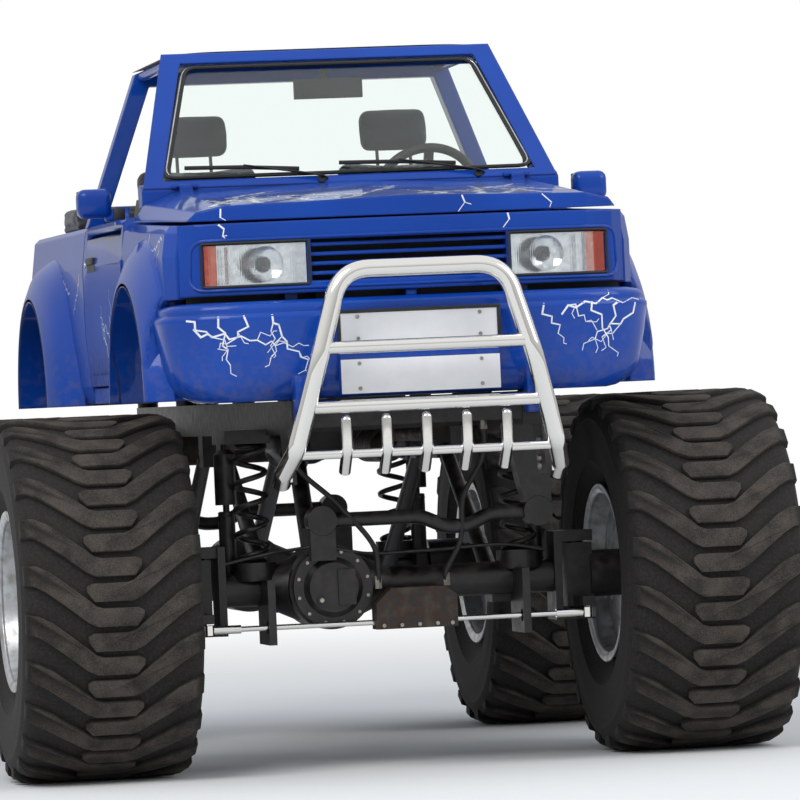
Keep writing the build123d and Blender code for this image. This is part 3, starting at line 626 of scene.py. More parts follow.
def raised(form, face, reach):
    """Carries a copy of a face along a vector, with walls between; returns the copy's corners."""
    shape = bmesh.ops.extrude_face_region(form, geom=[face])["geom"]
    moved = [item for item in shape if isinstance(item, bmesh.types.BMVert)]
    bmesh.ops.translate(form, vec=reach, verts=moved)
    return moved


def prism(form, outline, reach, edge):
    """An outline of points carried along a vector, its edges rounded."""
    face = form.faces.new([form.verts.new(point) for point in outline])
    soften(form, edges_at(raised(form, face, reach) + list(face.verts)), edge)


def ring_at(form, profile, centre):
    """A ring about the X axis from (distance along it, radius) points, moved to its centre."""
    verts, edges = chain(form, [(along, 0, radius) for along, radius in profile], True)
    spin(form, verts + edges, 64)
    ring = {vert for edge in edges if edge.is_valid for face in edge.link_faces for vert in face.verts}
    grown = set(ring)
    while ring:
        ring = {v for vert in ring for edge in vert.link_edges for v in edge.verts} - grown
        grown |= ring
    bmesh.ops.translate(form, vec=centre, verts=list(grown))


# Tyres

class TRUCK_OT_tyres(bpy.types.Operator):
    """Adds the four tyres: a spun carcass with bent lugs that alternate from side to side"""
    bl_idname = "truck.tyres"
    bl_label = "Tyres"

    def execute(self, context):
        for end in ("front", "rear"):
            for side in ("left", "right"):
                node = "tyre_%s_%s" % (end, side)
                form = bmesh.new()
                self.carcass(form)
                for hand in (-1, 1):
                    self.lugs(form, hand)
                centre = middle(node)
                centre.z = AXLE_Z * MM
                bmesh.ops.translate(form, vec=centre, verts=form.verts)
                tyre = piece_from("moulded_" + node, form, "tyre_rubber", node.replace("tyre", "wheel"), 35)
                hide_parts(node)
        return {"FINISHED"}

    def carcass(self, form):
        """Bead, bulging side wall with two ribs, shoulder and slightly crowned tread floor, spun about X."""
        half = [(0.226, 0.2862), (0.240, 0.292), (0.252, 0.318), (0.283, 0.372), (0.290, 0.376),
                (0.290, 0.384), (0.296, 0.43), (0.298, 0.47), (0.294, 0.512), (0.2965, 0.518),
                (0.2945, 0.526), (0.286, 0.55), (0.272, 0.569), (0.25, 0.5765), (0.14, 0.579)]
        outline = [(x, 0, r) for x, r in half] + [(-x, 0, r) for x, r in reversed(half)]
        verts, edges = chain(form, outline, True)
        spin(form, verts + edges, 92)

    def lugs(self, form, hand):
        """One side's lugs: a level bar with a chamfered tip, then an arm out to the shoulder."""
        pitch_r, floor_r, shoulder, height = 0.592, 0.5695, 0.235, 0.03
        foot = [(-92, -60), (-68, -92), (58, -92), (92, -76), (165, -18), (222, 26), (258, 47), (292, 54),
                (292, 120), (250, 113), (205, 90), (150, 46), (92, 0), (64, -24), (40, -32), (-74, -32),
                (-92, -42)]
        points = [form.verts.new((hand * x * MM, around * MM, 0.0)) for x, around in foot]
        face = form.faces.new(points)
        tops = raised(form, face, (0, 0, height))
        rim = [edge for edge in edges_at(tops) if all(v in tops for v in edge.verts)]
        softened = soften(form, rim, 0.0045)
        shape = {vert for vert in (*points, *tops, *softened) if vert.is_valid}
        lean = math.atan2(0.095, pitch_r)
        for vert in shape:
            out = max(abs(vert.co.x) - shoulder, 0) / 0.057
            radius = floor_r + vert.co.z - 0.022 * out ** 2
            turn = vert.co.y / pitch_r + lean + hand * math.pi / LUGS / 2
            across = vert.co.x * (1 - 0.006 * out)
            vert.co = Vector((across, radius * math.sin(turn), radius * math.cos(turn)))
        whole = list(shape) + edges_at(shape) + list({lug for vert in shape for lug in vert.link_faces})
        spin(form, whole, LUGS - 1, -2 * math.pi * (LUGS - 1) / LUGS, merge=False, copies=True)


# Body shells

class TRUCK_OT_bumpers(bpy.types.Operator):
    """Adds the pressed wrap-round bumper with its shelf, and the rounded rear bumper"""
    bl_idname = "truck.bumpers"
    bl_label = "Bumpers"

    # Half the outline seen from above, from the middle outwards: (x, y)
    PLAN = ((0, -728), (210, -724), (420, -712), (560, -691), (680, -655), (758, -600), (798, -545),
            (812, -488), (815, -430))
    # Up the front: (height, how far the outline draws in)
    RISE = ((1222, 150), (1228, 118), (1240, 92), (1255, 68), (1275, 50), (1300, 38), (1330, 30), (1400, 15),
            (1470, 4), (1486, 1), (1496, 2), (1504, 10), (1508, 16), (1522, 16), (1530, 20), (1538, 32),
            (1545, 70))

    def execute(self, context):
        wide = self.PLAN[-1][0]
        half = smooth_path([Vector(point) for point in self.PLAN], 3)
        outline = [Vector((-point.x, point.y)) for point in reversed(half[1:])] + half
        form = bmesh.new()
        last = None
        for z, draw in self.RISE:
            row = [at(x - draw * x / wide, y + draw * (1 - (x / wide) ** 2), z) for x, y in outline]
            edges = chain(form, row)[1]
            if last:
                bmesh.ops.bridge_loops(form, edges=last + edges)
            last = edges
        bmesh.ops.recalc_face_normals(form, faces=form.faces)
        bmesh.ops.solidify(form, geom=form.faces, thickness=0.004)
        for side in (-1, 1):
            side_block(form, side, (355, -700, 1150), (405, -636, 1300), 4)
        block(form, at(-262, -738, 1232), at(262, -700, 1499), 6 * MM)
        fitted("front_bumper_shell", form, "body_paint", "chassis", "front_bumper")
        form = bmesh.new()
        block(form, *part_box("rear_bumper"), 0.022, 4)
        fitted("rear_bumper_shell", form, "body_paint", "chassis", "rear_bumper")
        return {"FINISHED"}


class TRUCK_OT_flares(bpy.types.Operator):
    """Adds the broad lips over the wheel openings, which die away towards each panel's ends"""
    bl_idname = "truck.flares"
    bl_label = "Flares"

    ARCH_R = 385
    ARCH_Z = 1235
    SKIN_X = 786
    BUMPER_TOP = 1557
    BUMPER_END = -405

    def execute(self, context):
        for side, name in SIDES:
            for panel, y, out, ends in (("wing", 0, 850, (-495, 444)),
                                        ("quarter", WHEELBASE, 872, (1406, 2760))):
                form = bmesh.new()
                self.lip(form, side, y, out, ends)
                piece_from("%s_flare_%s" % (panel, name), form, "body_paint")
        return {"FINISHED"}

    def lip(self, form, side, y, out, ends):
        """The lip's section swept over the half circle of the opening, kept within the panel's length."""
        section = ((755, 160), (777, 150), (790, 142), (out - 44, 112), (out - 26, 88), (out - 10, 48),
                   (out - 3, 30), (out, 20), (out, 2), (out - 3, -1), (700, -1))
        verts, edges = chain(form, [(x, self.ARCH_R + rise, 0) for x, rise in section])
        spin(form, verts + edges, 72, math.pi, merge=False)
        for vert in form.verts:
            across, along, up = vert.co.x, y + vert.co.y, self.ARCH_Z + abs(vert.co.z)
            near = min(along - ends[0], ends[1] - along)
            limit = self.SKIN_X + (out - self.SKIN_X) * min(max(near / 110, 0), 1)
            along = min(max(along, ends[0]), ends[1])
            if y == 0 and up < self.BUMPER_TOP:
                along = max(along, self.BUMPER_END)
            vert.co = at(side * min(across, limit), along, up)
        bmesh.ops.remove_doubles(form, verts=form.verts, dist=1e-5)
        bmesh.ops.solidify(form, geom=form.faces, thickness=0.001)


class TRUCK_OT_bull_bar(bpy.types.Operator):
    """Adds the polished bull bar: bent main tube, cross tubes, low bar and short uprights bent back"""
    bl_idname = "truck.bull_bar"
    bl_label = "Bull bar"

    def execute(self, context):
        half = [at(*point) for point in ((455, -655, 955), (455, -700, 985), (425, -790, 1060),
                                         (352, -852, 1340), (266, -838, 1632))]
        other = [Vector((-point.x, point.y, point.z)) for point in reversed(half)]
        bends = [0.04, 0.06, 0.3, 0.125]
        form = bmesh.new()
        sweep(form, bent(half + other, bends + bends[::-1], 10), 30 * MM, 28)
        for x, y, z, radius in ((342, -852, 1383, 21), (388, -816, 1194, 21), (430, -776, 1043, 15)):
            bar(form, at(-x, y, z), at(x, y, z), radius * MM, None, 24)
        for number in range(-2, 3):
            x = 131 * number
            post = [at(x, -800, 1150), at(x, -800, 1055), at(x, -735, 985)]
            sweep(form, bent(post, [0.045], 8), 19 * MM, 20)
            ball(form, at(x, -800, 1150), 19 * MM)
        for side in (-1, 1):
            side_block(form, side, (425, -700, 958), (450, -630, 1000), 3)
        fitted("polished_bull_bar", form, "polished_tube", "chassis", "bull_bar", 50)
        return {"FINISHED"}


class TRUCK_OT_doors(bpy.types.Operator):
    """Adds the doors with their rounded mirrors, in place of the square ones"""
    bl_idname = "truck.doors"
    bl_label = "Doors"

    SKIN_X = 0.7885

    def execute(self, context):
        for side, name in SIDES:
            form = copied(frame["nodes"]["door_" + name].data)
            plane = {"plane_co": (side * self.SKIN_X, 0, 0), "plane_no": (side, 0, 0)}
            cut = bmesh.ops.bisect_plane(form, geom=[*form.verts, *form.edges, *form.faces], dist=1e-6,
                                         clear_outer=True, **plane)
            edges = [item for item in cut["geom_cut"] if isinstance(item, bmesh.types.BMEdge)]
            bmesh.ops.holes_fill(form, edges=edges, sides=0)
            side_block(form, side, (768, 484, 1852), (824, 516, 1894), 10, 3)
            side_block(form, side, (800, 470, 1865), (915, 558, 1964), 26, 5)
            fitted("door_skin_" + name, form, "body_paint", "door_" + name, "door_" + name, 30)
        return {"FINISHED"}


class TRUCK_OT_running_gear(bpy.types.Operator):
    """Adds the wound springs, dampers, links, differential covers, shafts, silencer and fuel tank"""
    bl_idname = "truck.running_gear"
    bl_label = "Running gear"

    def execute(self, context):
        for make in (self.springs, self.links, self.covers, self.shafts, self.tank):
            make()
        return {"FINISHED"}

    def springs(self):
        """Springs of five and a half turns with flat ends, and dampers in four stepped tubes each."""
        form, tubes = bmesh.new(), bmesh.new()
        coil_r, seat, tall, around = 52, 700, 375, 16
        steps, flat = around * 11 // 2, around // 2
        for y, damper in ((0, 80), (WHEELBASE, WHEELBASE - 80)):
            for side in (-1, 1):
                path = []
                for n in range(steps + 1):
                    share = min(max((n - flat) / (steps - 2 * flat), 0), 1)
                    turn = 2 * math.pi * n / around
                    across, along = side * 450 + coil_r * math.cos(turn), y + coil_r * math.sin(turn)
                    path.append(at(across, along, seat + tall * share))
                sweep(form, path, 9.5 * MM, 10)
                x = side * 520
                for low, high, radius, top in ((640, 662, 30, 30), (846, 862, 30, 24), (884, 1052, 36, 36),
                                               (1052, 1068, 36, 18)):
                    bar(tubes, at(x, damper, low), at(x, damper, high), radius * MM, top * MM, 24)
        fitted("wound_springs", form, "frame_paint", "chassis", "coil_springs")
        piece_from("damper_tubes", tubes, "frame_paint")

    def links(self):
        """Tapering radius arms, and the two sideways rods with their cranks."""
        form = bmesh.new()
        for side in (-1, 1):
            for y, way in ((0, 1), (WHEELBASE, -1)):
                bar(form, at(side * 385, y + way * 90, 557.4), at(side * 385, y + way * 860, 1031.8),
                    31 * MM, 24 * MM, 24)
        for y, way in ((-150, 1), (WHEELBASE + 150, -1)):
            run = [at(way * x, y, z) for x, z in ((-245, 821), (90, 821), (175, 783), (245, 783), (330, 821),
                                                  (483, 821))]
            sweep(form, bent(run, [0.12] * 4), 24 * MM, 20)
            for x in (-245, 483):
                bar(form, at(way * x, y - 40, 821), at(way * x, y + 40, 821), 49 * MM, None, 36)
        fitted("cranked_links", form, "frame_paint", "chassis", "suspension_links")

    def covers(self):
        """The differential covers: a bolted flange, a half dome and its filler plug."""
        form = bmesh.new()
        for x, y, way in ((-212, 0, -1), (-120, WHEELBASE, 1)):
            face = at(x, y, AXLE_Z) + Vector((0, way * 0.15, 0))
            out = Vector((0, way, 0))
            bar(form, face - out * 0.02, face + out * 0.004, 0.132, None, 48)
            bar(form, face - out * 0.001, face + out * 0.022, 0.104, 0.082, 48)
            bar(form, face + out * 0.02, face + out * 0.028, 0.08, 0.055, 48)
            block(form, face + Vector((0.012, min(way * 0.02, way * 0.034), -0.06)),
                  face + Vector((0.072, max(way * 0.02, way * 0.034), 0.06)), 3 * MM)
            plug = face + Vector((-0.046, 0, -0.04))
            bar(form, plug, plug + out * 0.036, 0.015, None, 6)
        piece_from("differential_covers", form, "frame_paint")

    def shafts(self):
        """The transfer case under the gearbox, the two prop shafts, and the silencer with its hangers."""
        form = bmesh.new()
        outline = [(-85, 1240), (85, 1240), (110, 1210), (110, 1150), (40, 1060), (-90, 1000),
                   (-170, 1000), (-215, 1045), (-215, 1100), (-140, 1190)]
        prism(form, [at(x, 765, z) for x, z in outline], Vector((0, 0.29, 0)), 12 * MM)
        for start, end in ((at(-160, 770, 1060), at(-212, 205, AXLE_Z + 25)),
                           (at(-160, 1050, 1060), at(-120, WHEELBASE - 205, AXLE_Z + 25))):
            run = (end - start).normalized()
            bar(form, start, start + run * 0.03, 0.054, None, 32)
            bar(form, start, end, 0.03, None, 28)
            bar(form, end - run * 0.03, end, 0.054, None, 32)
            for centre in (start + run * 0.075, end - run * 0.075):
                ball(form, centre, 0.04, 24, 14)
        piece_from("transfer_case_and_shafts", form, "cast_metal")
        form = bmesh.new()
        bar(form, at(250, 1215, 1055), at(250, 1585, 1055), 0.064, None, 40)
        bar(form, at(250, 1180, 1070), at(250, 1215, 1055), 0.03, 0.064, 40)
        bar(form, at(250, 1585, 1055), at(250, 1620, 1070), 0.064, 0.03, 40)
        for y in (1100, WHEELBASE - 300):
            block(form, at(236, y - 10, 1076), at(264, y + 10, 1122), 3 * MM)
        piece_from("silencer", form, "guard_steel")

    def tank(self):
        """The pressed tank with sloping lower edges."""
        outline = [(100, 1110), (440, 1110), (440, 1045), (405, 1000), (135, 1000), (100, 1045)]
        form = bmesh.new()
        prism(form, [at(-365, WHEELBASE + y, z) for y, z in outline], Vector((0.73, 0, 0)), 10 * MM)
        fitted("pressed_fuel_tank", form, "guard_steel", "chassis", "fuel_tank")


# Lamps

class TRUCK_OT_lamps(bpy.types.Operator):
    """Adds thin lamp glasses over silver trays, with a bowl and a bulb shield in each"""
    bl_idname = "truck.lamps"
    bl_label = "Lamps"

    def execute(self, context):
        node = frame["nodes"]["headlamps"]
        lens = self.part_of(node, lambda normal: normal.y < -0.6)
        bmesh.ops.solidify(lens, geom=lens.faces, thickness=0.003)
        glass = piece_from("lamp_glasses", lens, "lamp_glass", "chassis", 25)
        tray = self.part_of(node, lambda normal: normal.y > -0.6)
        bmesh.ops.reverse_faces(tray, faces=tray.faces)
        piece_from("lamp_trays", tray, "spun_reflector", "chassis", 25, False)
        self.bowls(*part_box("headlamps"))
        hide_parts("headlamps")
        return {"FINISHED"}

    def part_of(self, node, wanted):
        """A copy of the node's faces whose normals pass the test."""
        form = copied(node.data)
        form.normal_update()
        others = [face for face in form.faces if not wanted(face.normal)]
        bmesh.ops.delete(form, geom=others, context="FACES")
        return form

    def bowls(self, low, high):
        """Each lamp's round bowl with its bulb shield, and a wall beside the flasher."""
        centre = (low.z + high.z) / 2
        for side, name in SIDES:
            form = bmesh.new()
            back = Vector((side * 0.462, FRONT_AXLE_Y - 0.562, centre))
            profile = ((8, 0), (20, -2), (36, -7), (50, -14), (58, -20))
            verts, edges = chain(form, [(radius * MM, deep * MM, 0) for radius, deep in profile])
            spin(form, verts + edges, 32, axis=(0, 1, 0))
            bmesh.ops.translate(form, vec=back, verts=form.verts)
            piece_from("lamp_bowl_" + name, form, "spun_reflector")
            form = bmesh.new()
            bar(form, back + Vector((0, 0.004, 0)), back + Vector((0, -0.024, 0)), 0.017, 0.013, 20)
            block(form, back + Vector((-0.03, -0.006, -0.006)), back + Vector((0.012, -0.003, 0.02)), 0.002)
            piece_from("bulb_shield_" + name, form, "black_seal_rubber")
            form = bmesh.new()
            block(form, Vector((side * 0.589 - 0.0015, FRONT_AXLE_Y - 0.598, low.z + 0.004)),
                  Vector((side * 0.589 + 0.0015, FRONT_AXLE_Y - 0.548, high.z - 0.006)))
            piece_from("lamp_wall_" + name, form, "anodised_trim")


# White lightning lines

class TRUCK_OT_lightning(bpy.types.Operator):
    """Lays forked white lines of thin vinyl over the painted skins"""
    bl_idname = "truck.lightning"
    bl_label = "Lightning"

    THINNEST = 2.4
    FORKS = 0.22
    VINYL = 0.0005
    # Skin, body, the side it is seen from, then each line's start (mm), heading, length and seed
    SKINS = (
        ("front_bumper_shell", "chassis", "front", (
            (-640, 1498, -75, 230, 3), (-560, 1498, -110, 190, 5), (-470, 1498, -60, 300, 8),
            (-735, 1490, -40, 200, 12), (-715, 1462, -12, 420, 14), (585, 1498, -70, 230, 21),
            (680, 1496, -115, 210, 22), (480, 1462, 5, 330, 27), (745, 1490, -140, 280, 30),
            (420, 1498, -60, 200, 33))),
        ("bonnet", "bonnet", "top", (
            (-610, -520, 60, 520, 41), (-470, -560, 80, 420, 42), (-300, -570, 100, 380, 44),
            (250, -590, 80, 560, 46), (60, -560, 40, 460, 47), (480, -560, 110, 480, 49),
            (-120, -430, 150, 420, 52), (600, -420, 130, 420, 53), (-40, -300, 70, 380, 54),
            (330, -250, 60, 360, 55), (-520, -220, 50, 380, 56), (-200, -600, 60, 420, 43),
            (-560, -500, 100, 320, 45), (340, -590, 70, 420, 48), (160, -600, 110, 360, 50),
            (-400, -560, 35, 300, 51))),
        ("bonnet", "bonnet", "front", (
            (-604, 1846, -60, 60, 57), (-390, 1858, -95, 90, 58), (-300, 1860, -75, 70, 59),
            (-180, 1862, -80, 70, 60), (180, 1860, -100, 60, 65), (228, 1862, -85, 100, 66),
            (340, 1858, -105, 90, 67), (450, 1856, -80, 60, 68))),
        ("front_panel", "chassis", "front", (
            (-612, 1796, -60, 70, 61), (-380, 1797, -100, 60, 62), (236, 1797, -80, 80, 63),
            (330, 1797, -110, 70, 64))),
        ("wing_right", "chassis", "right", (
            (-380, 1760, -20, 330, 71), (-120, 1790, -50, 160, 72))),
        ("wing_left", "chassis", "left", (
            (-380, 1760, -20, 330, 74), (-90, 1790, -60, 160, 75))),
        ("door_right", "door_right", "right", (
            (520, 1600, -60, 300, 81), (640, 1420, 25, 420, 82), (900, 1400, 60, 240, 83),
            (560, 1380, 5, 360, 85))),
        ("door_left", "door_left", "left", (
            (520, 1600, -60, 300, 91), (640, 1420, 25, 420, 92), (900, 1400, 60, 240, 93),
            (560, 1380, 5, 360, 95))),
        ("quarter_right", "chassis", "right", (
            (1500, 1700, -30, 260, 101), (1760, 1640, 20, 260, 102), (2150, 1690, -20, 300, 104))),
        ("quarter_left", "chassis", "left", (
            (1500, 1700, -30, 260, 111), (1760, 1640, 20, 260, 112), (2150, 1690, -20, 300, 114))),
    )

    def execute(self, context):
        for node, body, view, lines in self.SKINS:
            tree = surface_of((frame["nodes"].get(node) or bpy.data.objects[node]).data)
            form = bmesh.new()
            # The bonnet is seen at a flat angle, so its lines are drawn broader
            width = context.scene.truck.line_width / MM * (4 if view == "top" else 1.15)
            for u, v, heading, length, seed in lines:
                self.grow(form, (tree, view), random.Random(seed), (u, v), heading, length, width)
            if not form.faces:
                raise RuntimeError("no line landed on " + node)
            piece_from("lightning_%s_%s" % (node, view), form, "white_line_vinyl", body, 60, False)
        return {"FINISHED"}

    def grow(self, form, skin, chance, start, heading, length, width):
        """One line of short zigzag stretches that forks and thins; it ends where the skin ends."""
        lean = chance.choice((-1, 1))
        whole = length
        while length > 8:
            stretch = min(chance.uniform(16, 44), length)
            turn = math.radians(heading + lean * chance.uniform(12, 48))
            lean = -lean
            end = (start[0] + stretch * math.cos(turn), start[1] + stretch * math.sin(turn))
            length -= stretch
            thin = width * max(length / whole, 0.0) ** 0.5
            if not self.strip(form, skin, start, end, max(thin, self.THINNEST)):
                return
            if chance.random() < self.FORKS and thin > self.THINNEST + 0.2:
                side = chance.choice((-1, 1)) * chance.uniform(30, 75)
                self.grow(form, skin, chance, end, heading + side, length * chance.uniform(0.35, 0.8),
                          thin * 0.7)
            start = end

    def strip(self, form, skin, start, end, width):
        """A flat strip laid on the skin in steps of at most 6 mm; false where it runs off."""
        along = Vector((end[0] - start[0], end[1] - start[1]))
        across = Vector((-along.y, along.x)).normalized() * width / 2
        steps = max(int(along.length / 6), 1)
        first = Vector(start) - along.normalized() * width * 0.3
        reach = along * (1 + width * 0.6 / along.length)
        last = None
        for n in range(steps + 1):
            middle_point = first + reach * n / steps
            pair = [self.land(skin, middle_point + across * way) for way in (-1, 1)]
            if None in pair or (pair[0] - pair[1]).length > width * 3 * MM:
                return False
            pair = [form.verts.new(point) for point in pair]
            if last:
                corners = last[0], pair[0], pair[1], last[1]
                form.faces.new((corners[0], *corners[:0:-1]) if skin[1] == "right" else corners)
            last = pair
        return True

    def land(self, skin, point):
        """The point of the skin seen at two of its coordinates, lifted by the vinyl's thickness."""
        tree, view = skin
        u, v = point * MM
        if view == "front":
            origin, way = Vector((u, -3, v)), Vector((0, 1, 0))
        elif view == "top":
            origin, way = Vector((u, FRONT_AXLE_Y + v, 3)), Vector((0, 0, -1))
        else:
            side = 1 if view == "left" else -1
            origin, way = Vector((side * 2, FRONT_AXLE_Y + u, v)), Vector((-side, 0, 0))
        place, normal = tree.ray_cast(origin, way)[:2]
        if place is None or abs(normal.dot(way)) < 0.3:
            return None
        return place - way * self.VINYL


# Glass, seals and wipers

class TRUCK_OT_screen_trim(bpy.types.Operator):
    """Adds the windscreen's rubber seal, its bright line and the two parked wipers"""
    bl_idname = "truck.screen_trim"
    bl_label = "Screen trim"

    def execute(self, context):
        low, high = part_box("windscreen_glass")
        width = context.scene.truck.seal_width
        foot = Vector((0, low.y, low.z))
        head = Vector((0, high.y, high.z))
        rise = (head - foot).normalized()
        face = Vector((0, -rise.z, rise.y))
        bottom = (high.x - low.x) / 2 * 0.985
        top = bottom * 0.8
        corners = [foot + rise * 0.02 + Vector((-bottom, 0, 0)), head - rise * 0.02 + Vector((-top, 0, 0)),
                   head - rise * 0.02 + Vector((top, 0, 0)), foot + rise * 0.02 + Vector((bottom, 0, 0))]
        line = []
        for n, corner in enumerate(corners):
            before = (corners[n - 1] - corner).normalized()
            after = (corners[(n + 1) % 4] - corner).normalized()
            line += corner_path(corner + before * 0.045, corner, corner + after * 0.045, 4)
        form = bmesh.new()
        sweep(form, [point + face * 0.004 for point in line], width, 10, True, 0.45)
        piece_from("screen_seal", form, "black_seal_rubber")
        form = bmesh.new()
        sweep(form, [point + face * 0.010 for point in line], 0.0028, 8, True)
        piece_from("screen_bright_line", form, "anodised_trim")
        self.wipers(foot, rise, face)
        return {"FINISHED"}

    def wipers(self, foot, rise, face):
        """Each wiper lies low on the glass, its arm running to a spindle in the scuttle."""
        for number, (x0, x1) in enumerate(((0.42, -0.03), (-0.12, -0.56))):
            spindle = foot + Vector((x0 + 0.02, -0.012, -0.012))
            clip = foot + Vector(((x0 + x1) / 2 - 0.02, 0, 0)) + rise * 0.05 + face * 0.024
            form = bmesh.new()
            bar(form, spindle - face * 0.014, spindle + face * 0.014, 0.013)
            arm = smooth_path([spindle, spindle + face * 0.02 + rise * 0.012, clip], 6)
            sweep(form, arm, 0.006, 8, False, 0.6)
            ends = [foot + Vector((x, 0, 0)) + rise * up + face * 0.014
                    for x, up in ((x0 - 0.05, 0.035), (x1, 0.055))]
            sweep(form, [ends[0], (ends[0] + ends[1]) / 2 + face * 0.006, ends[1]], 0.005, 8, False, 1.4)
            piece_from("wiper_%d" % number, form, "black_seal_rubber")


# Front

class TRUCK_OT_front_details(bpy.types.Operator):
    """Adds the plates' frame and screws, the radiator, the slot over the bumper and the lamps' surround"""
    bl_idname = "truck.front_details"
    bl_label = "Front details"

    def execute(self, context):
        low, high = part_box("number_plates")
        form = bmesh.new()
        bottom, top = 1392 * MM, 1498 * MM
        front, back = low.y - 0.003, high.y + 0.002
        for z in (bottom, top):
            block(form, Vector((low.x - 0.008, front, z - 0.006)),
                  Vector((high.x + 0.008, back, z + 0.006)), 0.002)
        for x in (low.x - 0.002, high.x + 0.002):
            block(form, Vector((x - 0.006, front, bottom)), Vector((x + 0.006, back, top)), 0.002)
        piece_from("plate_frame", form, "grained_cabin_plastic")
        form = bmesh.new()
        for x in (-0.2, 0.2):
            for z in (1.25, 1.33, 1.41, 1.48):
                bar(form, Vector((x, front, z)), Vector((x, low.y + 0.002, z)), 0.006, 0.007, 12)
        piece_from("plate_screws", form, "zinc_fastener")
        self.radiator()
        self.shelf_slot()
        self.surround()
        return {"FINISHED"}

    def radiator(self):
        """Black cooling fins close behind the slats, and the dark block under them."""
        form = bmesh.new()
        back = FRONT_AXLE_Y - 0.522
        block(form, Vector((-0.328, back, 1.585)), Vector((0.328, back + 0.0015, 1.75)))
        block(form, at(-340, -498, 1226), at(340, -440, 1560), 0.012)
        for number in range(21):
            z = 1.592 + number * 0.0075
            block(form, Vector((-0.325, back - 0.003, z)), Vector((0.325, back, z + 0.0025)))
        piece_from("radiator_fins", form, "black_seal_rubber")

    def surround(self):
        """A pressed lip round the lamps and grille, and a dark seal round each lamp."""
        tree = surface_of(frame["nodes"]["front_panel"].data)

        def landed(outline, radius, step_mm):
            path = []
            for u, v in rounded(outline, radius, step_mm):
                place = tree.ray_cast(Vector((u * MM, -3, v * MM)), Vector((0, 1, 0)))[0]
                if place is None:
                    raise RuntimeError("the surround left the nose")
                path.append(place)
            return path

        form = bmesh.new()
        sweep(form, landed([(-706, 1584), (706, 1584), (700, 1746), (-700, 1746)], 45, 20), 0.006, 10, True)
        piece_from("surround_lip", form, "body_paint")
        for side, name in SIDES:
            outline = [(side * x, z) for x, z in ((328.5, 1595), (670, 1595), (670, 1736), (328.5, 1736))]
            form = bmesh.new()
            sweep(form, landed(outline, 10, 12), 0.0045, 8, True)
            piece_from("lamp_seal_" + name, form, "black_seal_rubber")

    def shelf_slot(self):
        """The dark strips in the slot above the bumper, with a small painted tab at its middle."""
        form = bmesh.new()
        block(form, at(-715, -500, 1546), at(715, -496, 1569))
        block(form, at(-300, -560, 1546), at(300, -556, 1569))
        piece_from("slot_shadow", form, "black_seal_rubber")
        form = bmesh.new()
        block(form, at(-18, -640, 1540), at(18, -585, 1568), 0.005)
        piece_from("slot_tab", form, "body_paint")


# Small fittings

def ring_of(form, centre, axis, ring, count, radius, height, sides=6):
    """Bolt heads round a circle about an axis, standing out along it."""
    turn = axis.to_track_quat("Z", "Y").to_matrix()
    for n in range(count):
        angle = 2 * math.pi * (n + 0.5) / count
        place = centre + turn @ Vector((ring * math.cos(angle), ring * math.sin(angle), 0))
        bar(form, place - axis * 0.004, place + axis * height, radius, radius * 0.94, sides)


class TRUCK_OT_wheel_fittings(bpy.types.Operator):
    """Adds the rims' lips and nut rings, the wheel nuts, the domed hub caps and the tyre valves"""
    bl_idname = "truck.wheel_fittings"
    bl_label = "Wheel fittings"

    HUB_FACE_X = 0.8
    # The rim's rolled edge and the pressed ring that carries the nuts: (distance outwards, radius)
    LIP = ((0.256, 0.284), (0.262, 0.297), (0.267, 0.3), (0.27, 0.297), (0.268, 0.282), (0.262, 0.270),
           (0.235, 0.261), (0.2, 0.259), (0.175, 0.248), (0.17, 0.252), (0.195, 0.266), (0.25, 0.27))
    DISC = ((0.012, 0.165), (0.022, 0.162), (0.03, 0.152), (0.03, 0.104), (0.024, 0.097), (0.012, 0.094))

    def execute(self, context):
        for end in ("front", "rear"):
            for hand, side in SIDES:
                place = "%s_%s" % (end, side)
                out = Vector((hand, 0, 0))
                hub = middle("rim_" + place)
                face = Vector((hand * self.HUB_FACE_X, hub.y, hub.z))
                form = bmesh.new()
                for way in (-1, 1):
                    ring_at(form, [(way * along, radius) for along, radius in self.LIP], hub)
                ring_at(form, [(hand * along, radius) for along, radius in self.DISC], face)
                piece_from("wheel_lips_" + place, form, "rim_silver", "wheel_" + place)
                form = bmesh.new()
                ring_of(form, face + out * 0.03, out, 0.13, 6, 0.014, 0.018)
                ring_of(form, face + out * 0.04, out, 0.068, 6, 0.006, 0.006)
                piece_from("wheel_nuts_" + place, form, "zinc_fastener", "wheel_" + place)
                form = bmesh.new()
                bar(form, face + out * 0.036, face + out * 0.07, 0.055, 0.053, 40)
                bar(form, face + out * 0.07, face + out * 0.082, 0.053, 0.042, 40)
                valve = face + Vector((0, 0.247, 0)) + out * 0.11
                bar(form, valve - out * 0.02, valve + out * 0.03, 0.005, 0.004, 12)
                piece_from("hub_cap_" + place, form, "black_seal_rubber", "wheel_" + place)
        return {"FINISHED"}


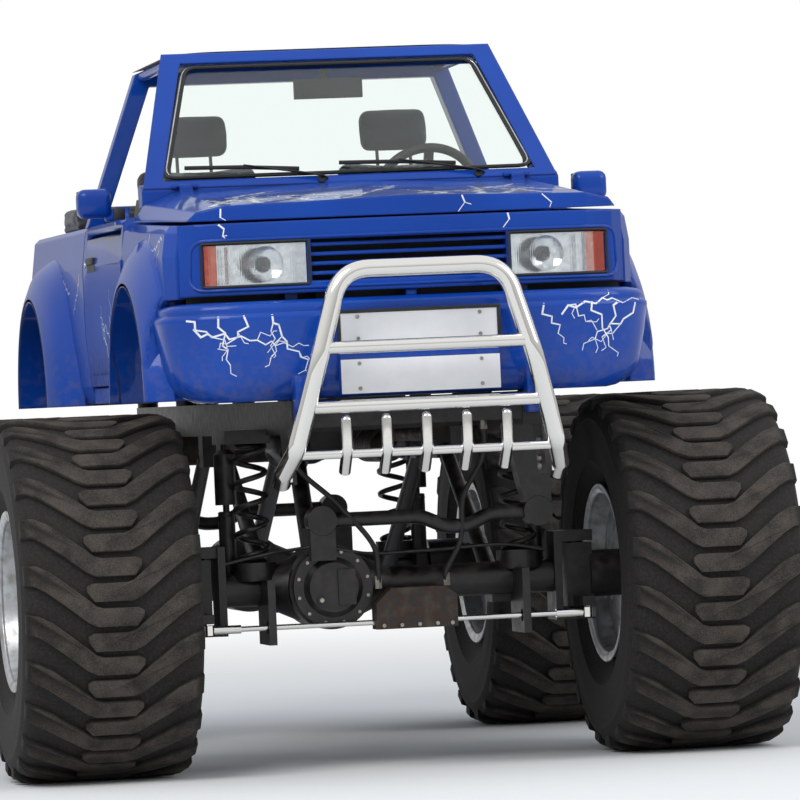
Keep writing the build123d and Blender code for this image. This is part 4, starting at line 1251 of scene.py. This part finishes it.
class TRUCK_OT_axle_fittings(bpy.types.Operator):
    """Adds cover bolts, the brake pipe, hydraulic hoses, tank straps and other small parts below"""
    bl_idname = "truck.axle_fittings"
    bl_label = "Axle fittings"

    def execute(self, context):
        form = bmesh.new()
        ahead = Vector((0, -1, 0))
        for x, y, way in ((-212, 0, ahead), (-120, WHEELBASE, -ahead)):
            ring_of(form, at(x, y, AXLE_Z) + way * 0.154, way, 0.119, 12, 0.0065, 0.006)
            drain = at(x - 46, y, AXLE_Z - 40) + way * 0.186
            bar(form, drain, drain + way * 0.008, 0.009, 0.008, 6)
        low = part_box("steering_cylinder")[0]
        for x in (-0.06, 0.0, 0.06, 0.12, 0.17):
            bolt = Vector((x, low.y, low.z + 0.012))
            bar(form, bolt - ahead * 0.002, bolt + ahead * 0.007, 0.008, 0.007, 6)
        for side in (-1, 1):
            for z in (975, 1000, 1060):
                foot = at(side * 410, -600, z)
                bar(form, foot, foot - Vector((side * 0.01, 0, 0)), 0.012, 0.011, 6)
        piece_from("axle_bolts", form, "zinc_fastener")
        self.pipes(context.scene.truck.hose_radius)
        self.straps()
        return {"FINISHED"}

    def pipes(self, radius):
        """A steel brake pipe across the front axle, and a hose up from each end of the cylinder."""
        form = bmesh.new()
        run = ((-560, -62, 690), (-420, -75, 716), (-300, -150, 734), (-249, -165, 738), (-150, -150, 716),
               (-67, -120, 704), (120, -95, 706), (369, -80, 714), (520, -66, 690))
        sweep(form, smooth_path([at(*point) for point in run], 6), 0.006, 10)
        piece_from("brake_pipe", form, "black_chassis_enamel")
        form, fittings = bmesh.new(), bmesh.new()
        for x, frame_x in ((-60, -330), (170, 300)):
            start = at(x, -150, 600)
            path = [start, at(x, -156, 640), at(x * 1.3, -165, 740), at((x + frame_x) / 2, -170, 880),
                    at(frame_x, -200, 1010), at(frame_x, -240, 1130)]
            sweep(form, smooth_path(path, 7), radius, 12)
            for end, under, over in ((start, 0.012, 0.03), (path[-1], 0.03, 0.01)):
                bar(fittings, end - Vector((0, 0, under)), end + Vector((0, 0, over)), radius * 1.35, None, 6)
        piece_from("steering_hoses", form, "black_hose_rubber")
        piece_from("hose_fittings", fittings, "zinc_fastener")

    def straps(self):
        """Two flat steel straps round the tank."""
        outline = [(100, 1112), (100, 1045), (135, 1000), (405, 1000), (440, 1045), (440, 1112)]
        form = bmesh.new()
        for x in (-200, 200):
            rows = []
            for lift in (-1.0, 2.0):
                for edge in (-18, 18):
                    row = []
                    for y, z in outline:
                        out_y = lift if y > 405 else -lift if y < 135 else 0
                        out_z = -lift if z < 1045 else 0
                        row.append(form.verts.new(at(x + edge, WHEELBASE + y + out_y, z + out_z)))
                    rows.append(row)
            inner_left, inner_right, outer_left, outer_right = rows
            for a, b in ((inner_left, inner_right), (inner_right, outer_right), (outer_right, outer_left),
                         (outer_left, inner_left)):
                for n in range(len(outline) - 1):
                    form.faces.new((a[n], a[n + 1], b[n + 1], b[n]))
            for n in (0, -1):
                form.faces.new((inner_left[n], inner_right[n], outer_right[n], outer_left[n]))
        piece_from("tank_straps", form, "zinc_fastener")


class TRUCK_OT_body_fittings(bpy.types.Operator):
    """Adds mirror glasses, door handles, lamp bezels, the tailgate latch and the cabin's controls"""
    bl_idname = "truck.body_fittings"
    bl_label = "Body fittings"

    def execute(self, context):
        for side, name in SIDES:
            self.mirror(side, "door_" + name)
            self.handle(side, "door_" + name)
            self.lamp(side, name)
        self.tailgate()
        self.controls()
        return {"FINISHED"}

    def mirror(self, side, body):
        form = bmesh.new()
        side_block(form, side, (812, 556, 1876), (903, 560, 1953), 3)
        piece_from("mirror_glass_" + body, form, "spun_reflector", body)
        form = bmesh.new()
        side_block(form, side, (806, 553, 1870), (909, 558.6, 1959), 4)
        # The dark gaiter where the stalk meets the door
        side_block(form, side, (756, 476, 1856), (796, 552, 1898), 7)
        piece_from("mirror_trim_" + body, form, "grained_cabin_plastic", body)

    def handle(self, side, body):
        form = bmesh.new()
        side_block(form, side, (776, 1106, 1700), (780.8, 1284, 1748))
        side_block(form, side, (779, 1112, 1725), (788, 1278, 1749), 4)
        piece_from("handle_" + body, form, "grained_cabin_plastic", body)
        form = bmesh.new()
        bar(form, at(side * 779, 1330, 1727), at(side * 783, 1330, 1727), 11 * MM, 10 * MM, 24)
        piece_from("lock_" + body, form, "anodised_trim", body)

    def lamp(self, side, name):
        low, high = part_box("tail_lamps")
        form = bmesh.new()
        inner, outer = sorted((side * 648 * MM, side * 735 * MM))
        front, back = low.y - 0.002, low.y + 0.012
        for x in (inner, outer):
            block(form, Vector((x - 0.004, front, low.z - 0.004)),
                  Vector((x + 0.004, back, high.z + 0.004)), 0.002)
        for z in (low.z, (low.z * 2 + high.z) / 3, (low.z + high.z * 2) / 3, high.z):
            reach = high.y + 0.002 if low.z < z < high.z else back
            block(form, Vector((inner, front, z - 0.004)), Vector((outer, reach, z + 0.004)), 0.002)
        piece_from("lamp_bezel_" + name, form, "grained_cabin_plastic")

    def tailgate(self):
        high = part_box("tailgate")[1]
        face, top = high.y, high.z - 0.12
        form = bmesh.new()
        block(form, Vector((-0.075, face - 0.002, top)), Vector((0.075, face + 0.012, top + 0.045)), 0.006)
        piece_from("tailgate_handle", form, "grained_cabin_plastic", "tailgate")
        form = bmesh.new()
        lock = Vector((0.05, face + 0.01, top + 0.022))
        bar(form, lock, lock + Vector((0, 0.004, 0)), 0.01, 0.009, 24)
        piece_from("tailgate_lock", form, "anodised_trim", "tailgate")

    def controls(self):
        """Instrument hood, shelf, and the gear and transfer levers with their gaiters."""
        form = bmesh.new()
        block(form, at(200, 560, 1905), at(480, 655, 1985), 28 * MM, 4)
        block(form, at(-620, 560, 1918), at(-200, 640, 1940), 10 * MM, 3)
        for x, y, tall in ((-10, 690, 1700), (70, 900, 1640)):
            bar(form, at(x, y, 1428), at(x, y, 1490), 52 * MM, 20 * MM, 24)
            bar(form, at(x, y, 1480), at(x, y - 25, tall), 7 * MM, None, 12)
            ball(form, at(x, y - 26, tall + 14), 24 * MM)
        piece_from("cabin_controls", form, "grained_cabin_plastic")


# Cabin

def stuffed(name, form, look, pressure, cap):
    """A padded piece, remeshed and swelled as cloth, which rounds its faces and pulls its sides in."""
    bmesh.ops.recalc_face_normals(form, faces=form.faces)
    piece = object_from(name, form)
    remesh = piece.modifiers.new("remesh", "REMESH")
    remesh.mode = "VOXEL"
    remesh.voxel_size = 0.009
    apply_modifiers(piece)
    rest = [vert.co.copy() for vert in piece.data.vertices]
    cloth = piece.modifiers.new("cloth", "CLOTH")
    cloth.settings.use_pressure = True
    cloth.settings.uniform_pressure_force = pressure
    cloth.settings.effector_weights.gravity = 0
    cloth.settings.quality = 4
    cloth.collision_settings.use_collision = False
    for number in range(1, 16):
        bpy.context.scene.frame_set(number)
    apply_modifiers(piece)
    bpy.context.scene.frame_set(1)
    for vert, start in zip(piece.data.vertices, rest):
        move = vert.co - start
        if move.length > cap:
            vert.co = start + move.normalized() * cap
    shade(piece, look)
    return piece


def apply_modifiers(piece):
    """Puts the result of a piece's modifiers into its mesh."""
    shown = piece.evaluated_get(bpy.context.evaluated_depsgraph_get())
    mesh = bpy.data.meshes.new_from_object(shown)
    piece.modifiers.clear()
    piece.data = mesh


def mirrored(piece, name):
    """The piece's twin across the middle, as an object of its own."""
    form = bmesh.new()
    form.from_mesh(piece.data)
    bmesh.ops.scale(form, vec=(-1, 1, 1), verts=form.verts)
    bmesh.ops.reverse_faces(form, faces=form.faces)
    copy = object_from(name, form)
    for material in piece.data.materials:
        copy.data.materials.append(material)
    return copy


class TRUCK_OT_seats(bpy.types.Operator):
    """Adds the two front seats and the rear bench as stuffed cloth pads on their bases"""
    bl_idname = "truck.seats"
    bl_label = "Seats"

    SEAT_X = 360

    def execute(self, context):
        self.pressure = context.scene.truck.cushion_pressure
        x, back = self.SEAT_X, WHEELBASE
        lean = Matrix.Rotation(math.radians(-13), 4, "X")
        pads = [self.pad("seat_cushion_left", (x - 225, 815, 1415), (x + 225, 1275, 1545), 40, None, 22),
                self.pad("seat_back_left", (x - 220, 1315, 1560), (x + 220, 1405, 2065), 38, lean, 22),
                self.pad("seat_head_left", (x - 118, 1412, 2095), (x + 118, 1488, 2238), 30, lean, 22)]
        pads += [mirrored(pad, pad.name.replace("left", "right")) for pad in pads]
        pads += [self.pad("bench_cushion", (-445, back - 435, 1515), (445, back - 65, 1605), 34, None, 20),
                 self.pad("bench_back", (-445, back - 62, 1615), (445, back + 38, 1845), 34, lean, 20)]
        form = bmesh.new()
        for side in (-1, 1):
            side_block(form, side, (160, 850, 1302), (560, 1250, 1420), 20)
            for post in (-60, 60):
                bar(form, at(side * x + post, 1440, 2020), at(side * x + post, 1452, 2110), 6 * MM, None, 10)
        block(form, at(-440, back - 400, 1302), at(440, back - 100, 1520), 0.02)
        base = piece_from("seat_bases", form, "cabin_plastic")
        for pad in pads:
            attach(pad, "chassis")
        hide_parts("seats")
        return {"FINISHED"}

    def pad(self, name, low, high, edge, turn, cap):
        """One stuffed block; the pressure moves no point of it further than the cap."""
        form = bmesh.new()
        block(form, at(*low), at(*high), edge * MM, 4, turn)
        return stuffed(name, form, "woven_seat_cloth", self.pressure, cap * MM)


class TRUCK_OT_soft_top(bpy.types.Operator):
    """Adds the short cloth roof over the seats and the rest of the top folded on the rear sides"""
    bl_idname = "truck.soft_top"
    bl_label = "Soft top"

    def execute(self, context):
        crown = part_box("soft_top")[1].z - 0.003
        half_width = 0.558
        form = bmesh.new()
        front, back = at(0, 747, 0).y, at(0, 1488, 0).y
        made = bmesh.ops.create_grid(form, x_segments=28, y_segments=20, size=0.5)
        for vert in made["verts"]:
            share = vert.co.y + 0.5
            across = vert.co.x * 2
            sag = 0.005 * (1 - across ** 2) * math.sin(math.pi * share)
            edge = 0.014 * abs(across) ** 10
            vert.co = Vector((across * half_width, front + (back - front) * share,
                              crown - 0.008 * share - sag - edge))
        bmesh.ops.solidify(form, geom=form.faces, thickness=0.002)
        roof = piece_from("roof_cloth", form, "soft_top_cloth")
        folds = self.stack()
        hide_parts("soft_top")
        return {"FINISHED"}

    def stack(self):
        """The folded cloth as one soft bundle with long creases."""
        form = bmesh.new()
        start, end = at(0, WHEELBASE - 232, 0).y, at(0, WHEELBASE + 152, 0).y
        sill, half_width, layer = 1864 * MM, 0.712, 0.028
        for number, (inset, height) in enumerate(((0.0, 0.03), (0.02, 0.03), (0.045, 0.027))):
            low = sill + number * layer
            block(form, Vector((-half_width, start + inset, low)),
                  Vector((half_width, end - inset * 0.7, low + height)), 0.012, 3)
        folds = stuffed("folded_top", form, "coated_top_cloth", 1.5, 6 * MM)
        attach(folds, "chassis")
        return folds


# Panel and start

OPERATORS = (TRUCK_OT_finishes, TRUCK_OT_stage, TRUCK_OT_tyres, TRUCK_OT_bumpers, TRUCK_OT_flares,
             TRUCK_OT_bull_bar, TRUCK_OT_doors, TRUCK_OT_running_gear, TRUCK_OT_lamps, TRUCK_OT_lightning,
             TRUCK_OT_screen_trim, TRUCK_OT_front_details, TRUCK_OT_wheel_fittings,
             TRUCK_OT_axle_fittings, TRUCK_OT_body_fittings, TRUCK_OT_seats, TRUCK_OT_soft_top)


class TRUCK_PT_panel(bpy.types.Panel):
    bl_label = "Show Truck"
    bl_space_type = "VIEW_3D"
    bl_region_type = "UI"
    bl_category = "Show Truck"

    def draw(self, context):
        for operator in OPERATORS:
            self.layout.operator(operator.bl_idname)
        for settings in (context.scene.truck_stage, context.scene.truck):
            for name in settings.__annotations__:
                self.layout.prop(settings, name)


CLASSES = (StageSettings, TruckSettings, *OPERATORS, TRUCK_PT_panel)


def register():
    for each in CLASSES:
        bpy.utils.register_class(each)
    bpy.types.Scene.truck_stage = PointerProperty(type=StageSettings)
    bpy.types.Scene.truck = PointerProperty(type=TruckSettings)


def unregister():
    del bpy.types.Scene.truck
    del bpy.types.Scene.truck_stage
    for each in reversed(CLASSES):
        bpy.utils.unregister_class(each)


def main():
    register()
    for operator in OPERATORS:
        group, name = operator.bl_idname.split(".")
        getattr(getattr(bpy.ops, group), name)()


if __name__ == "__main__":
    main()
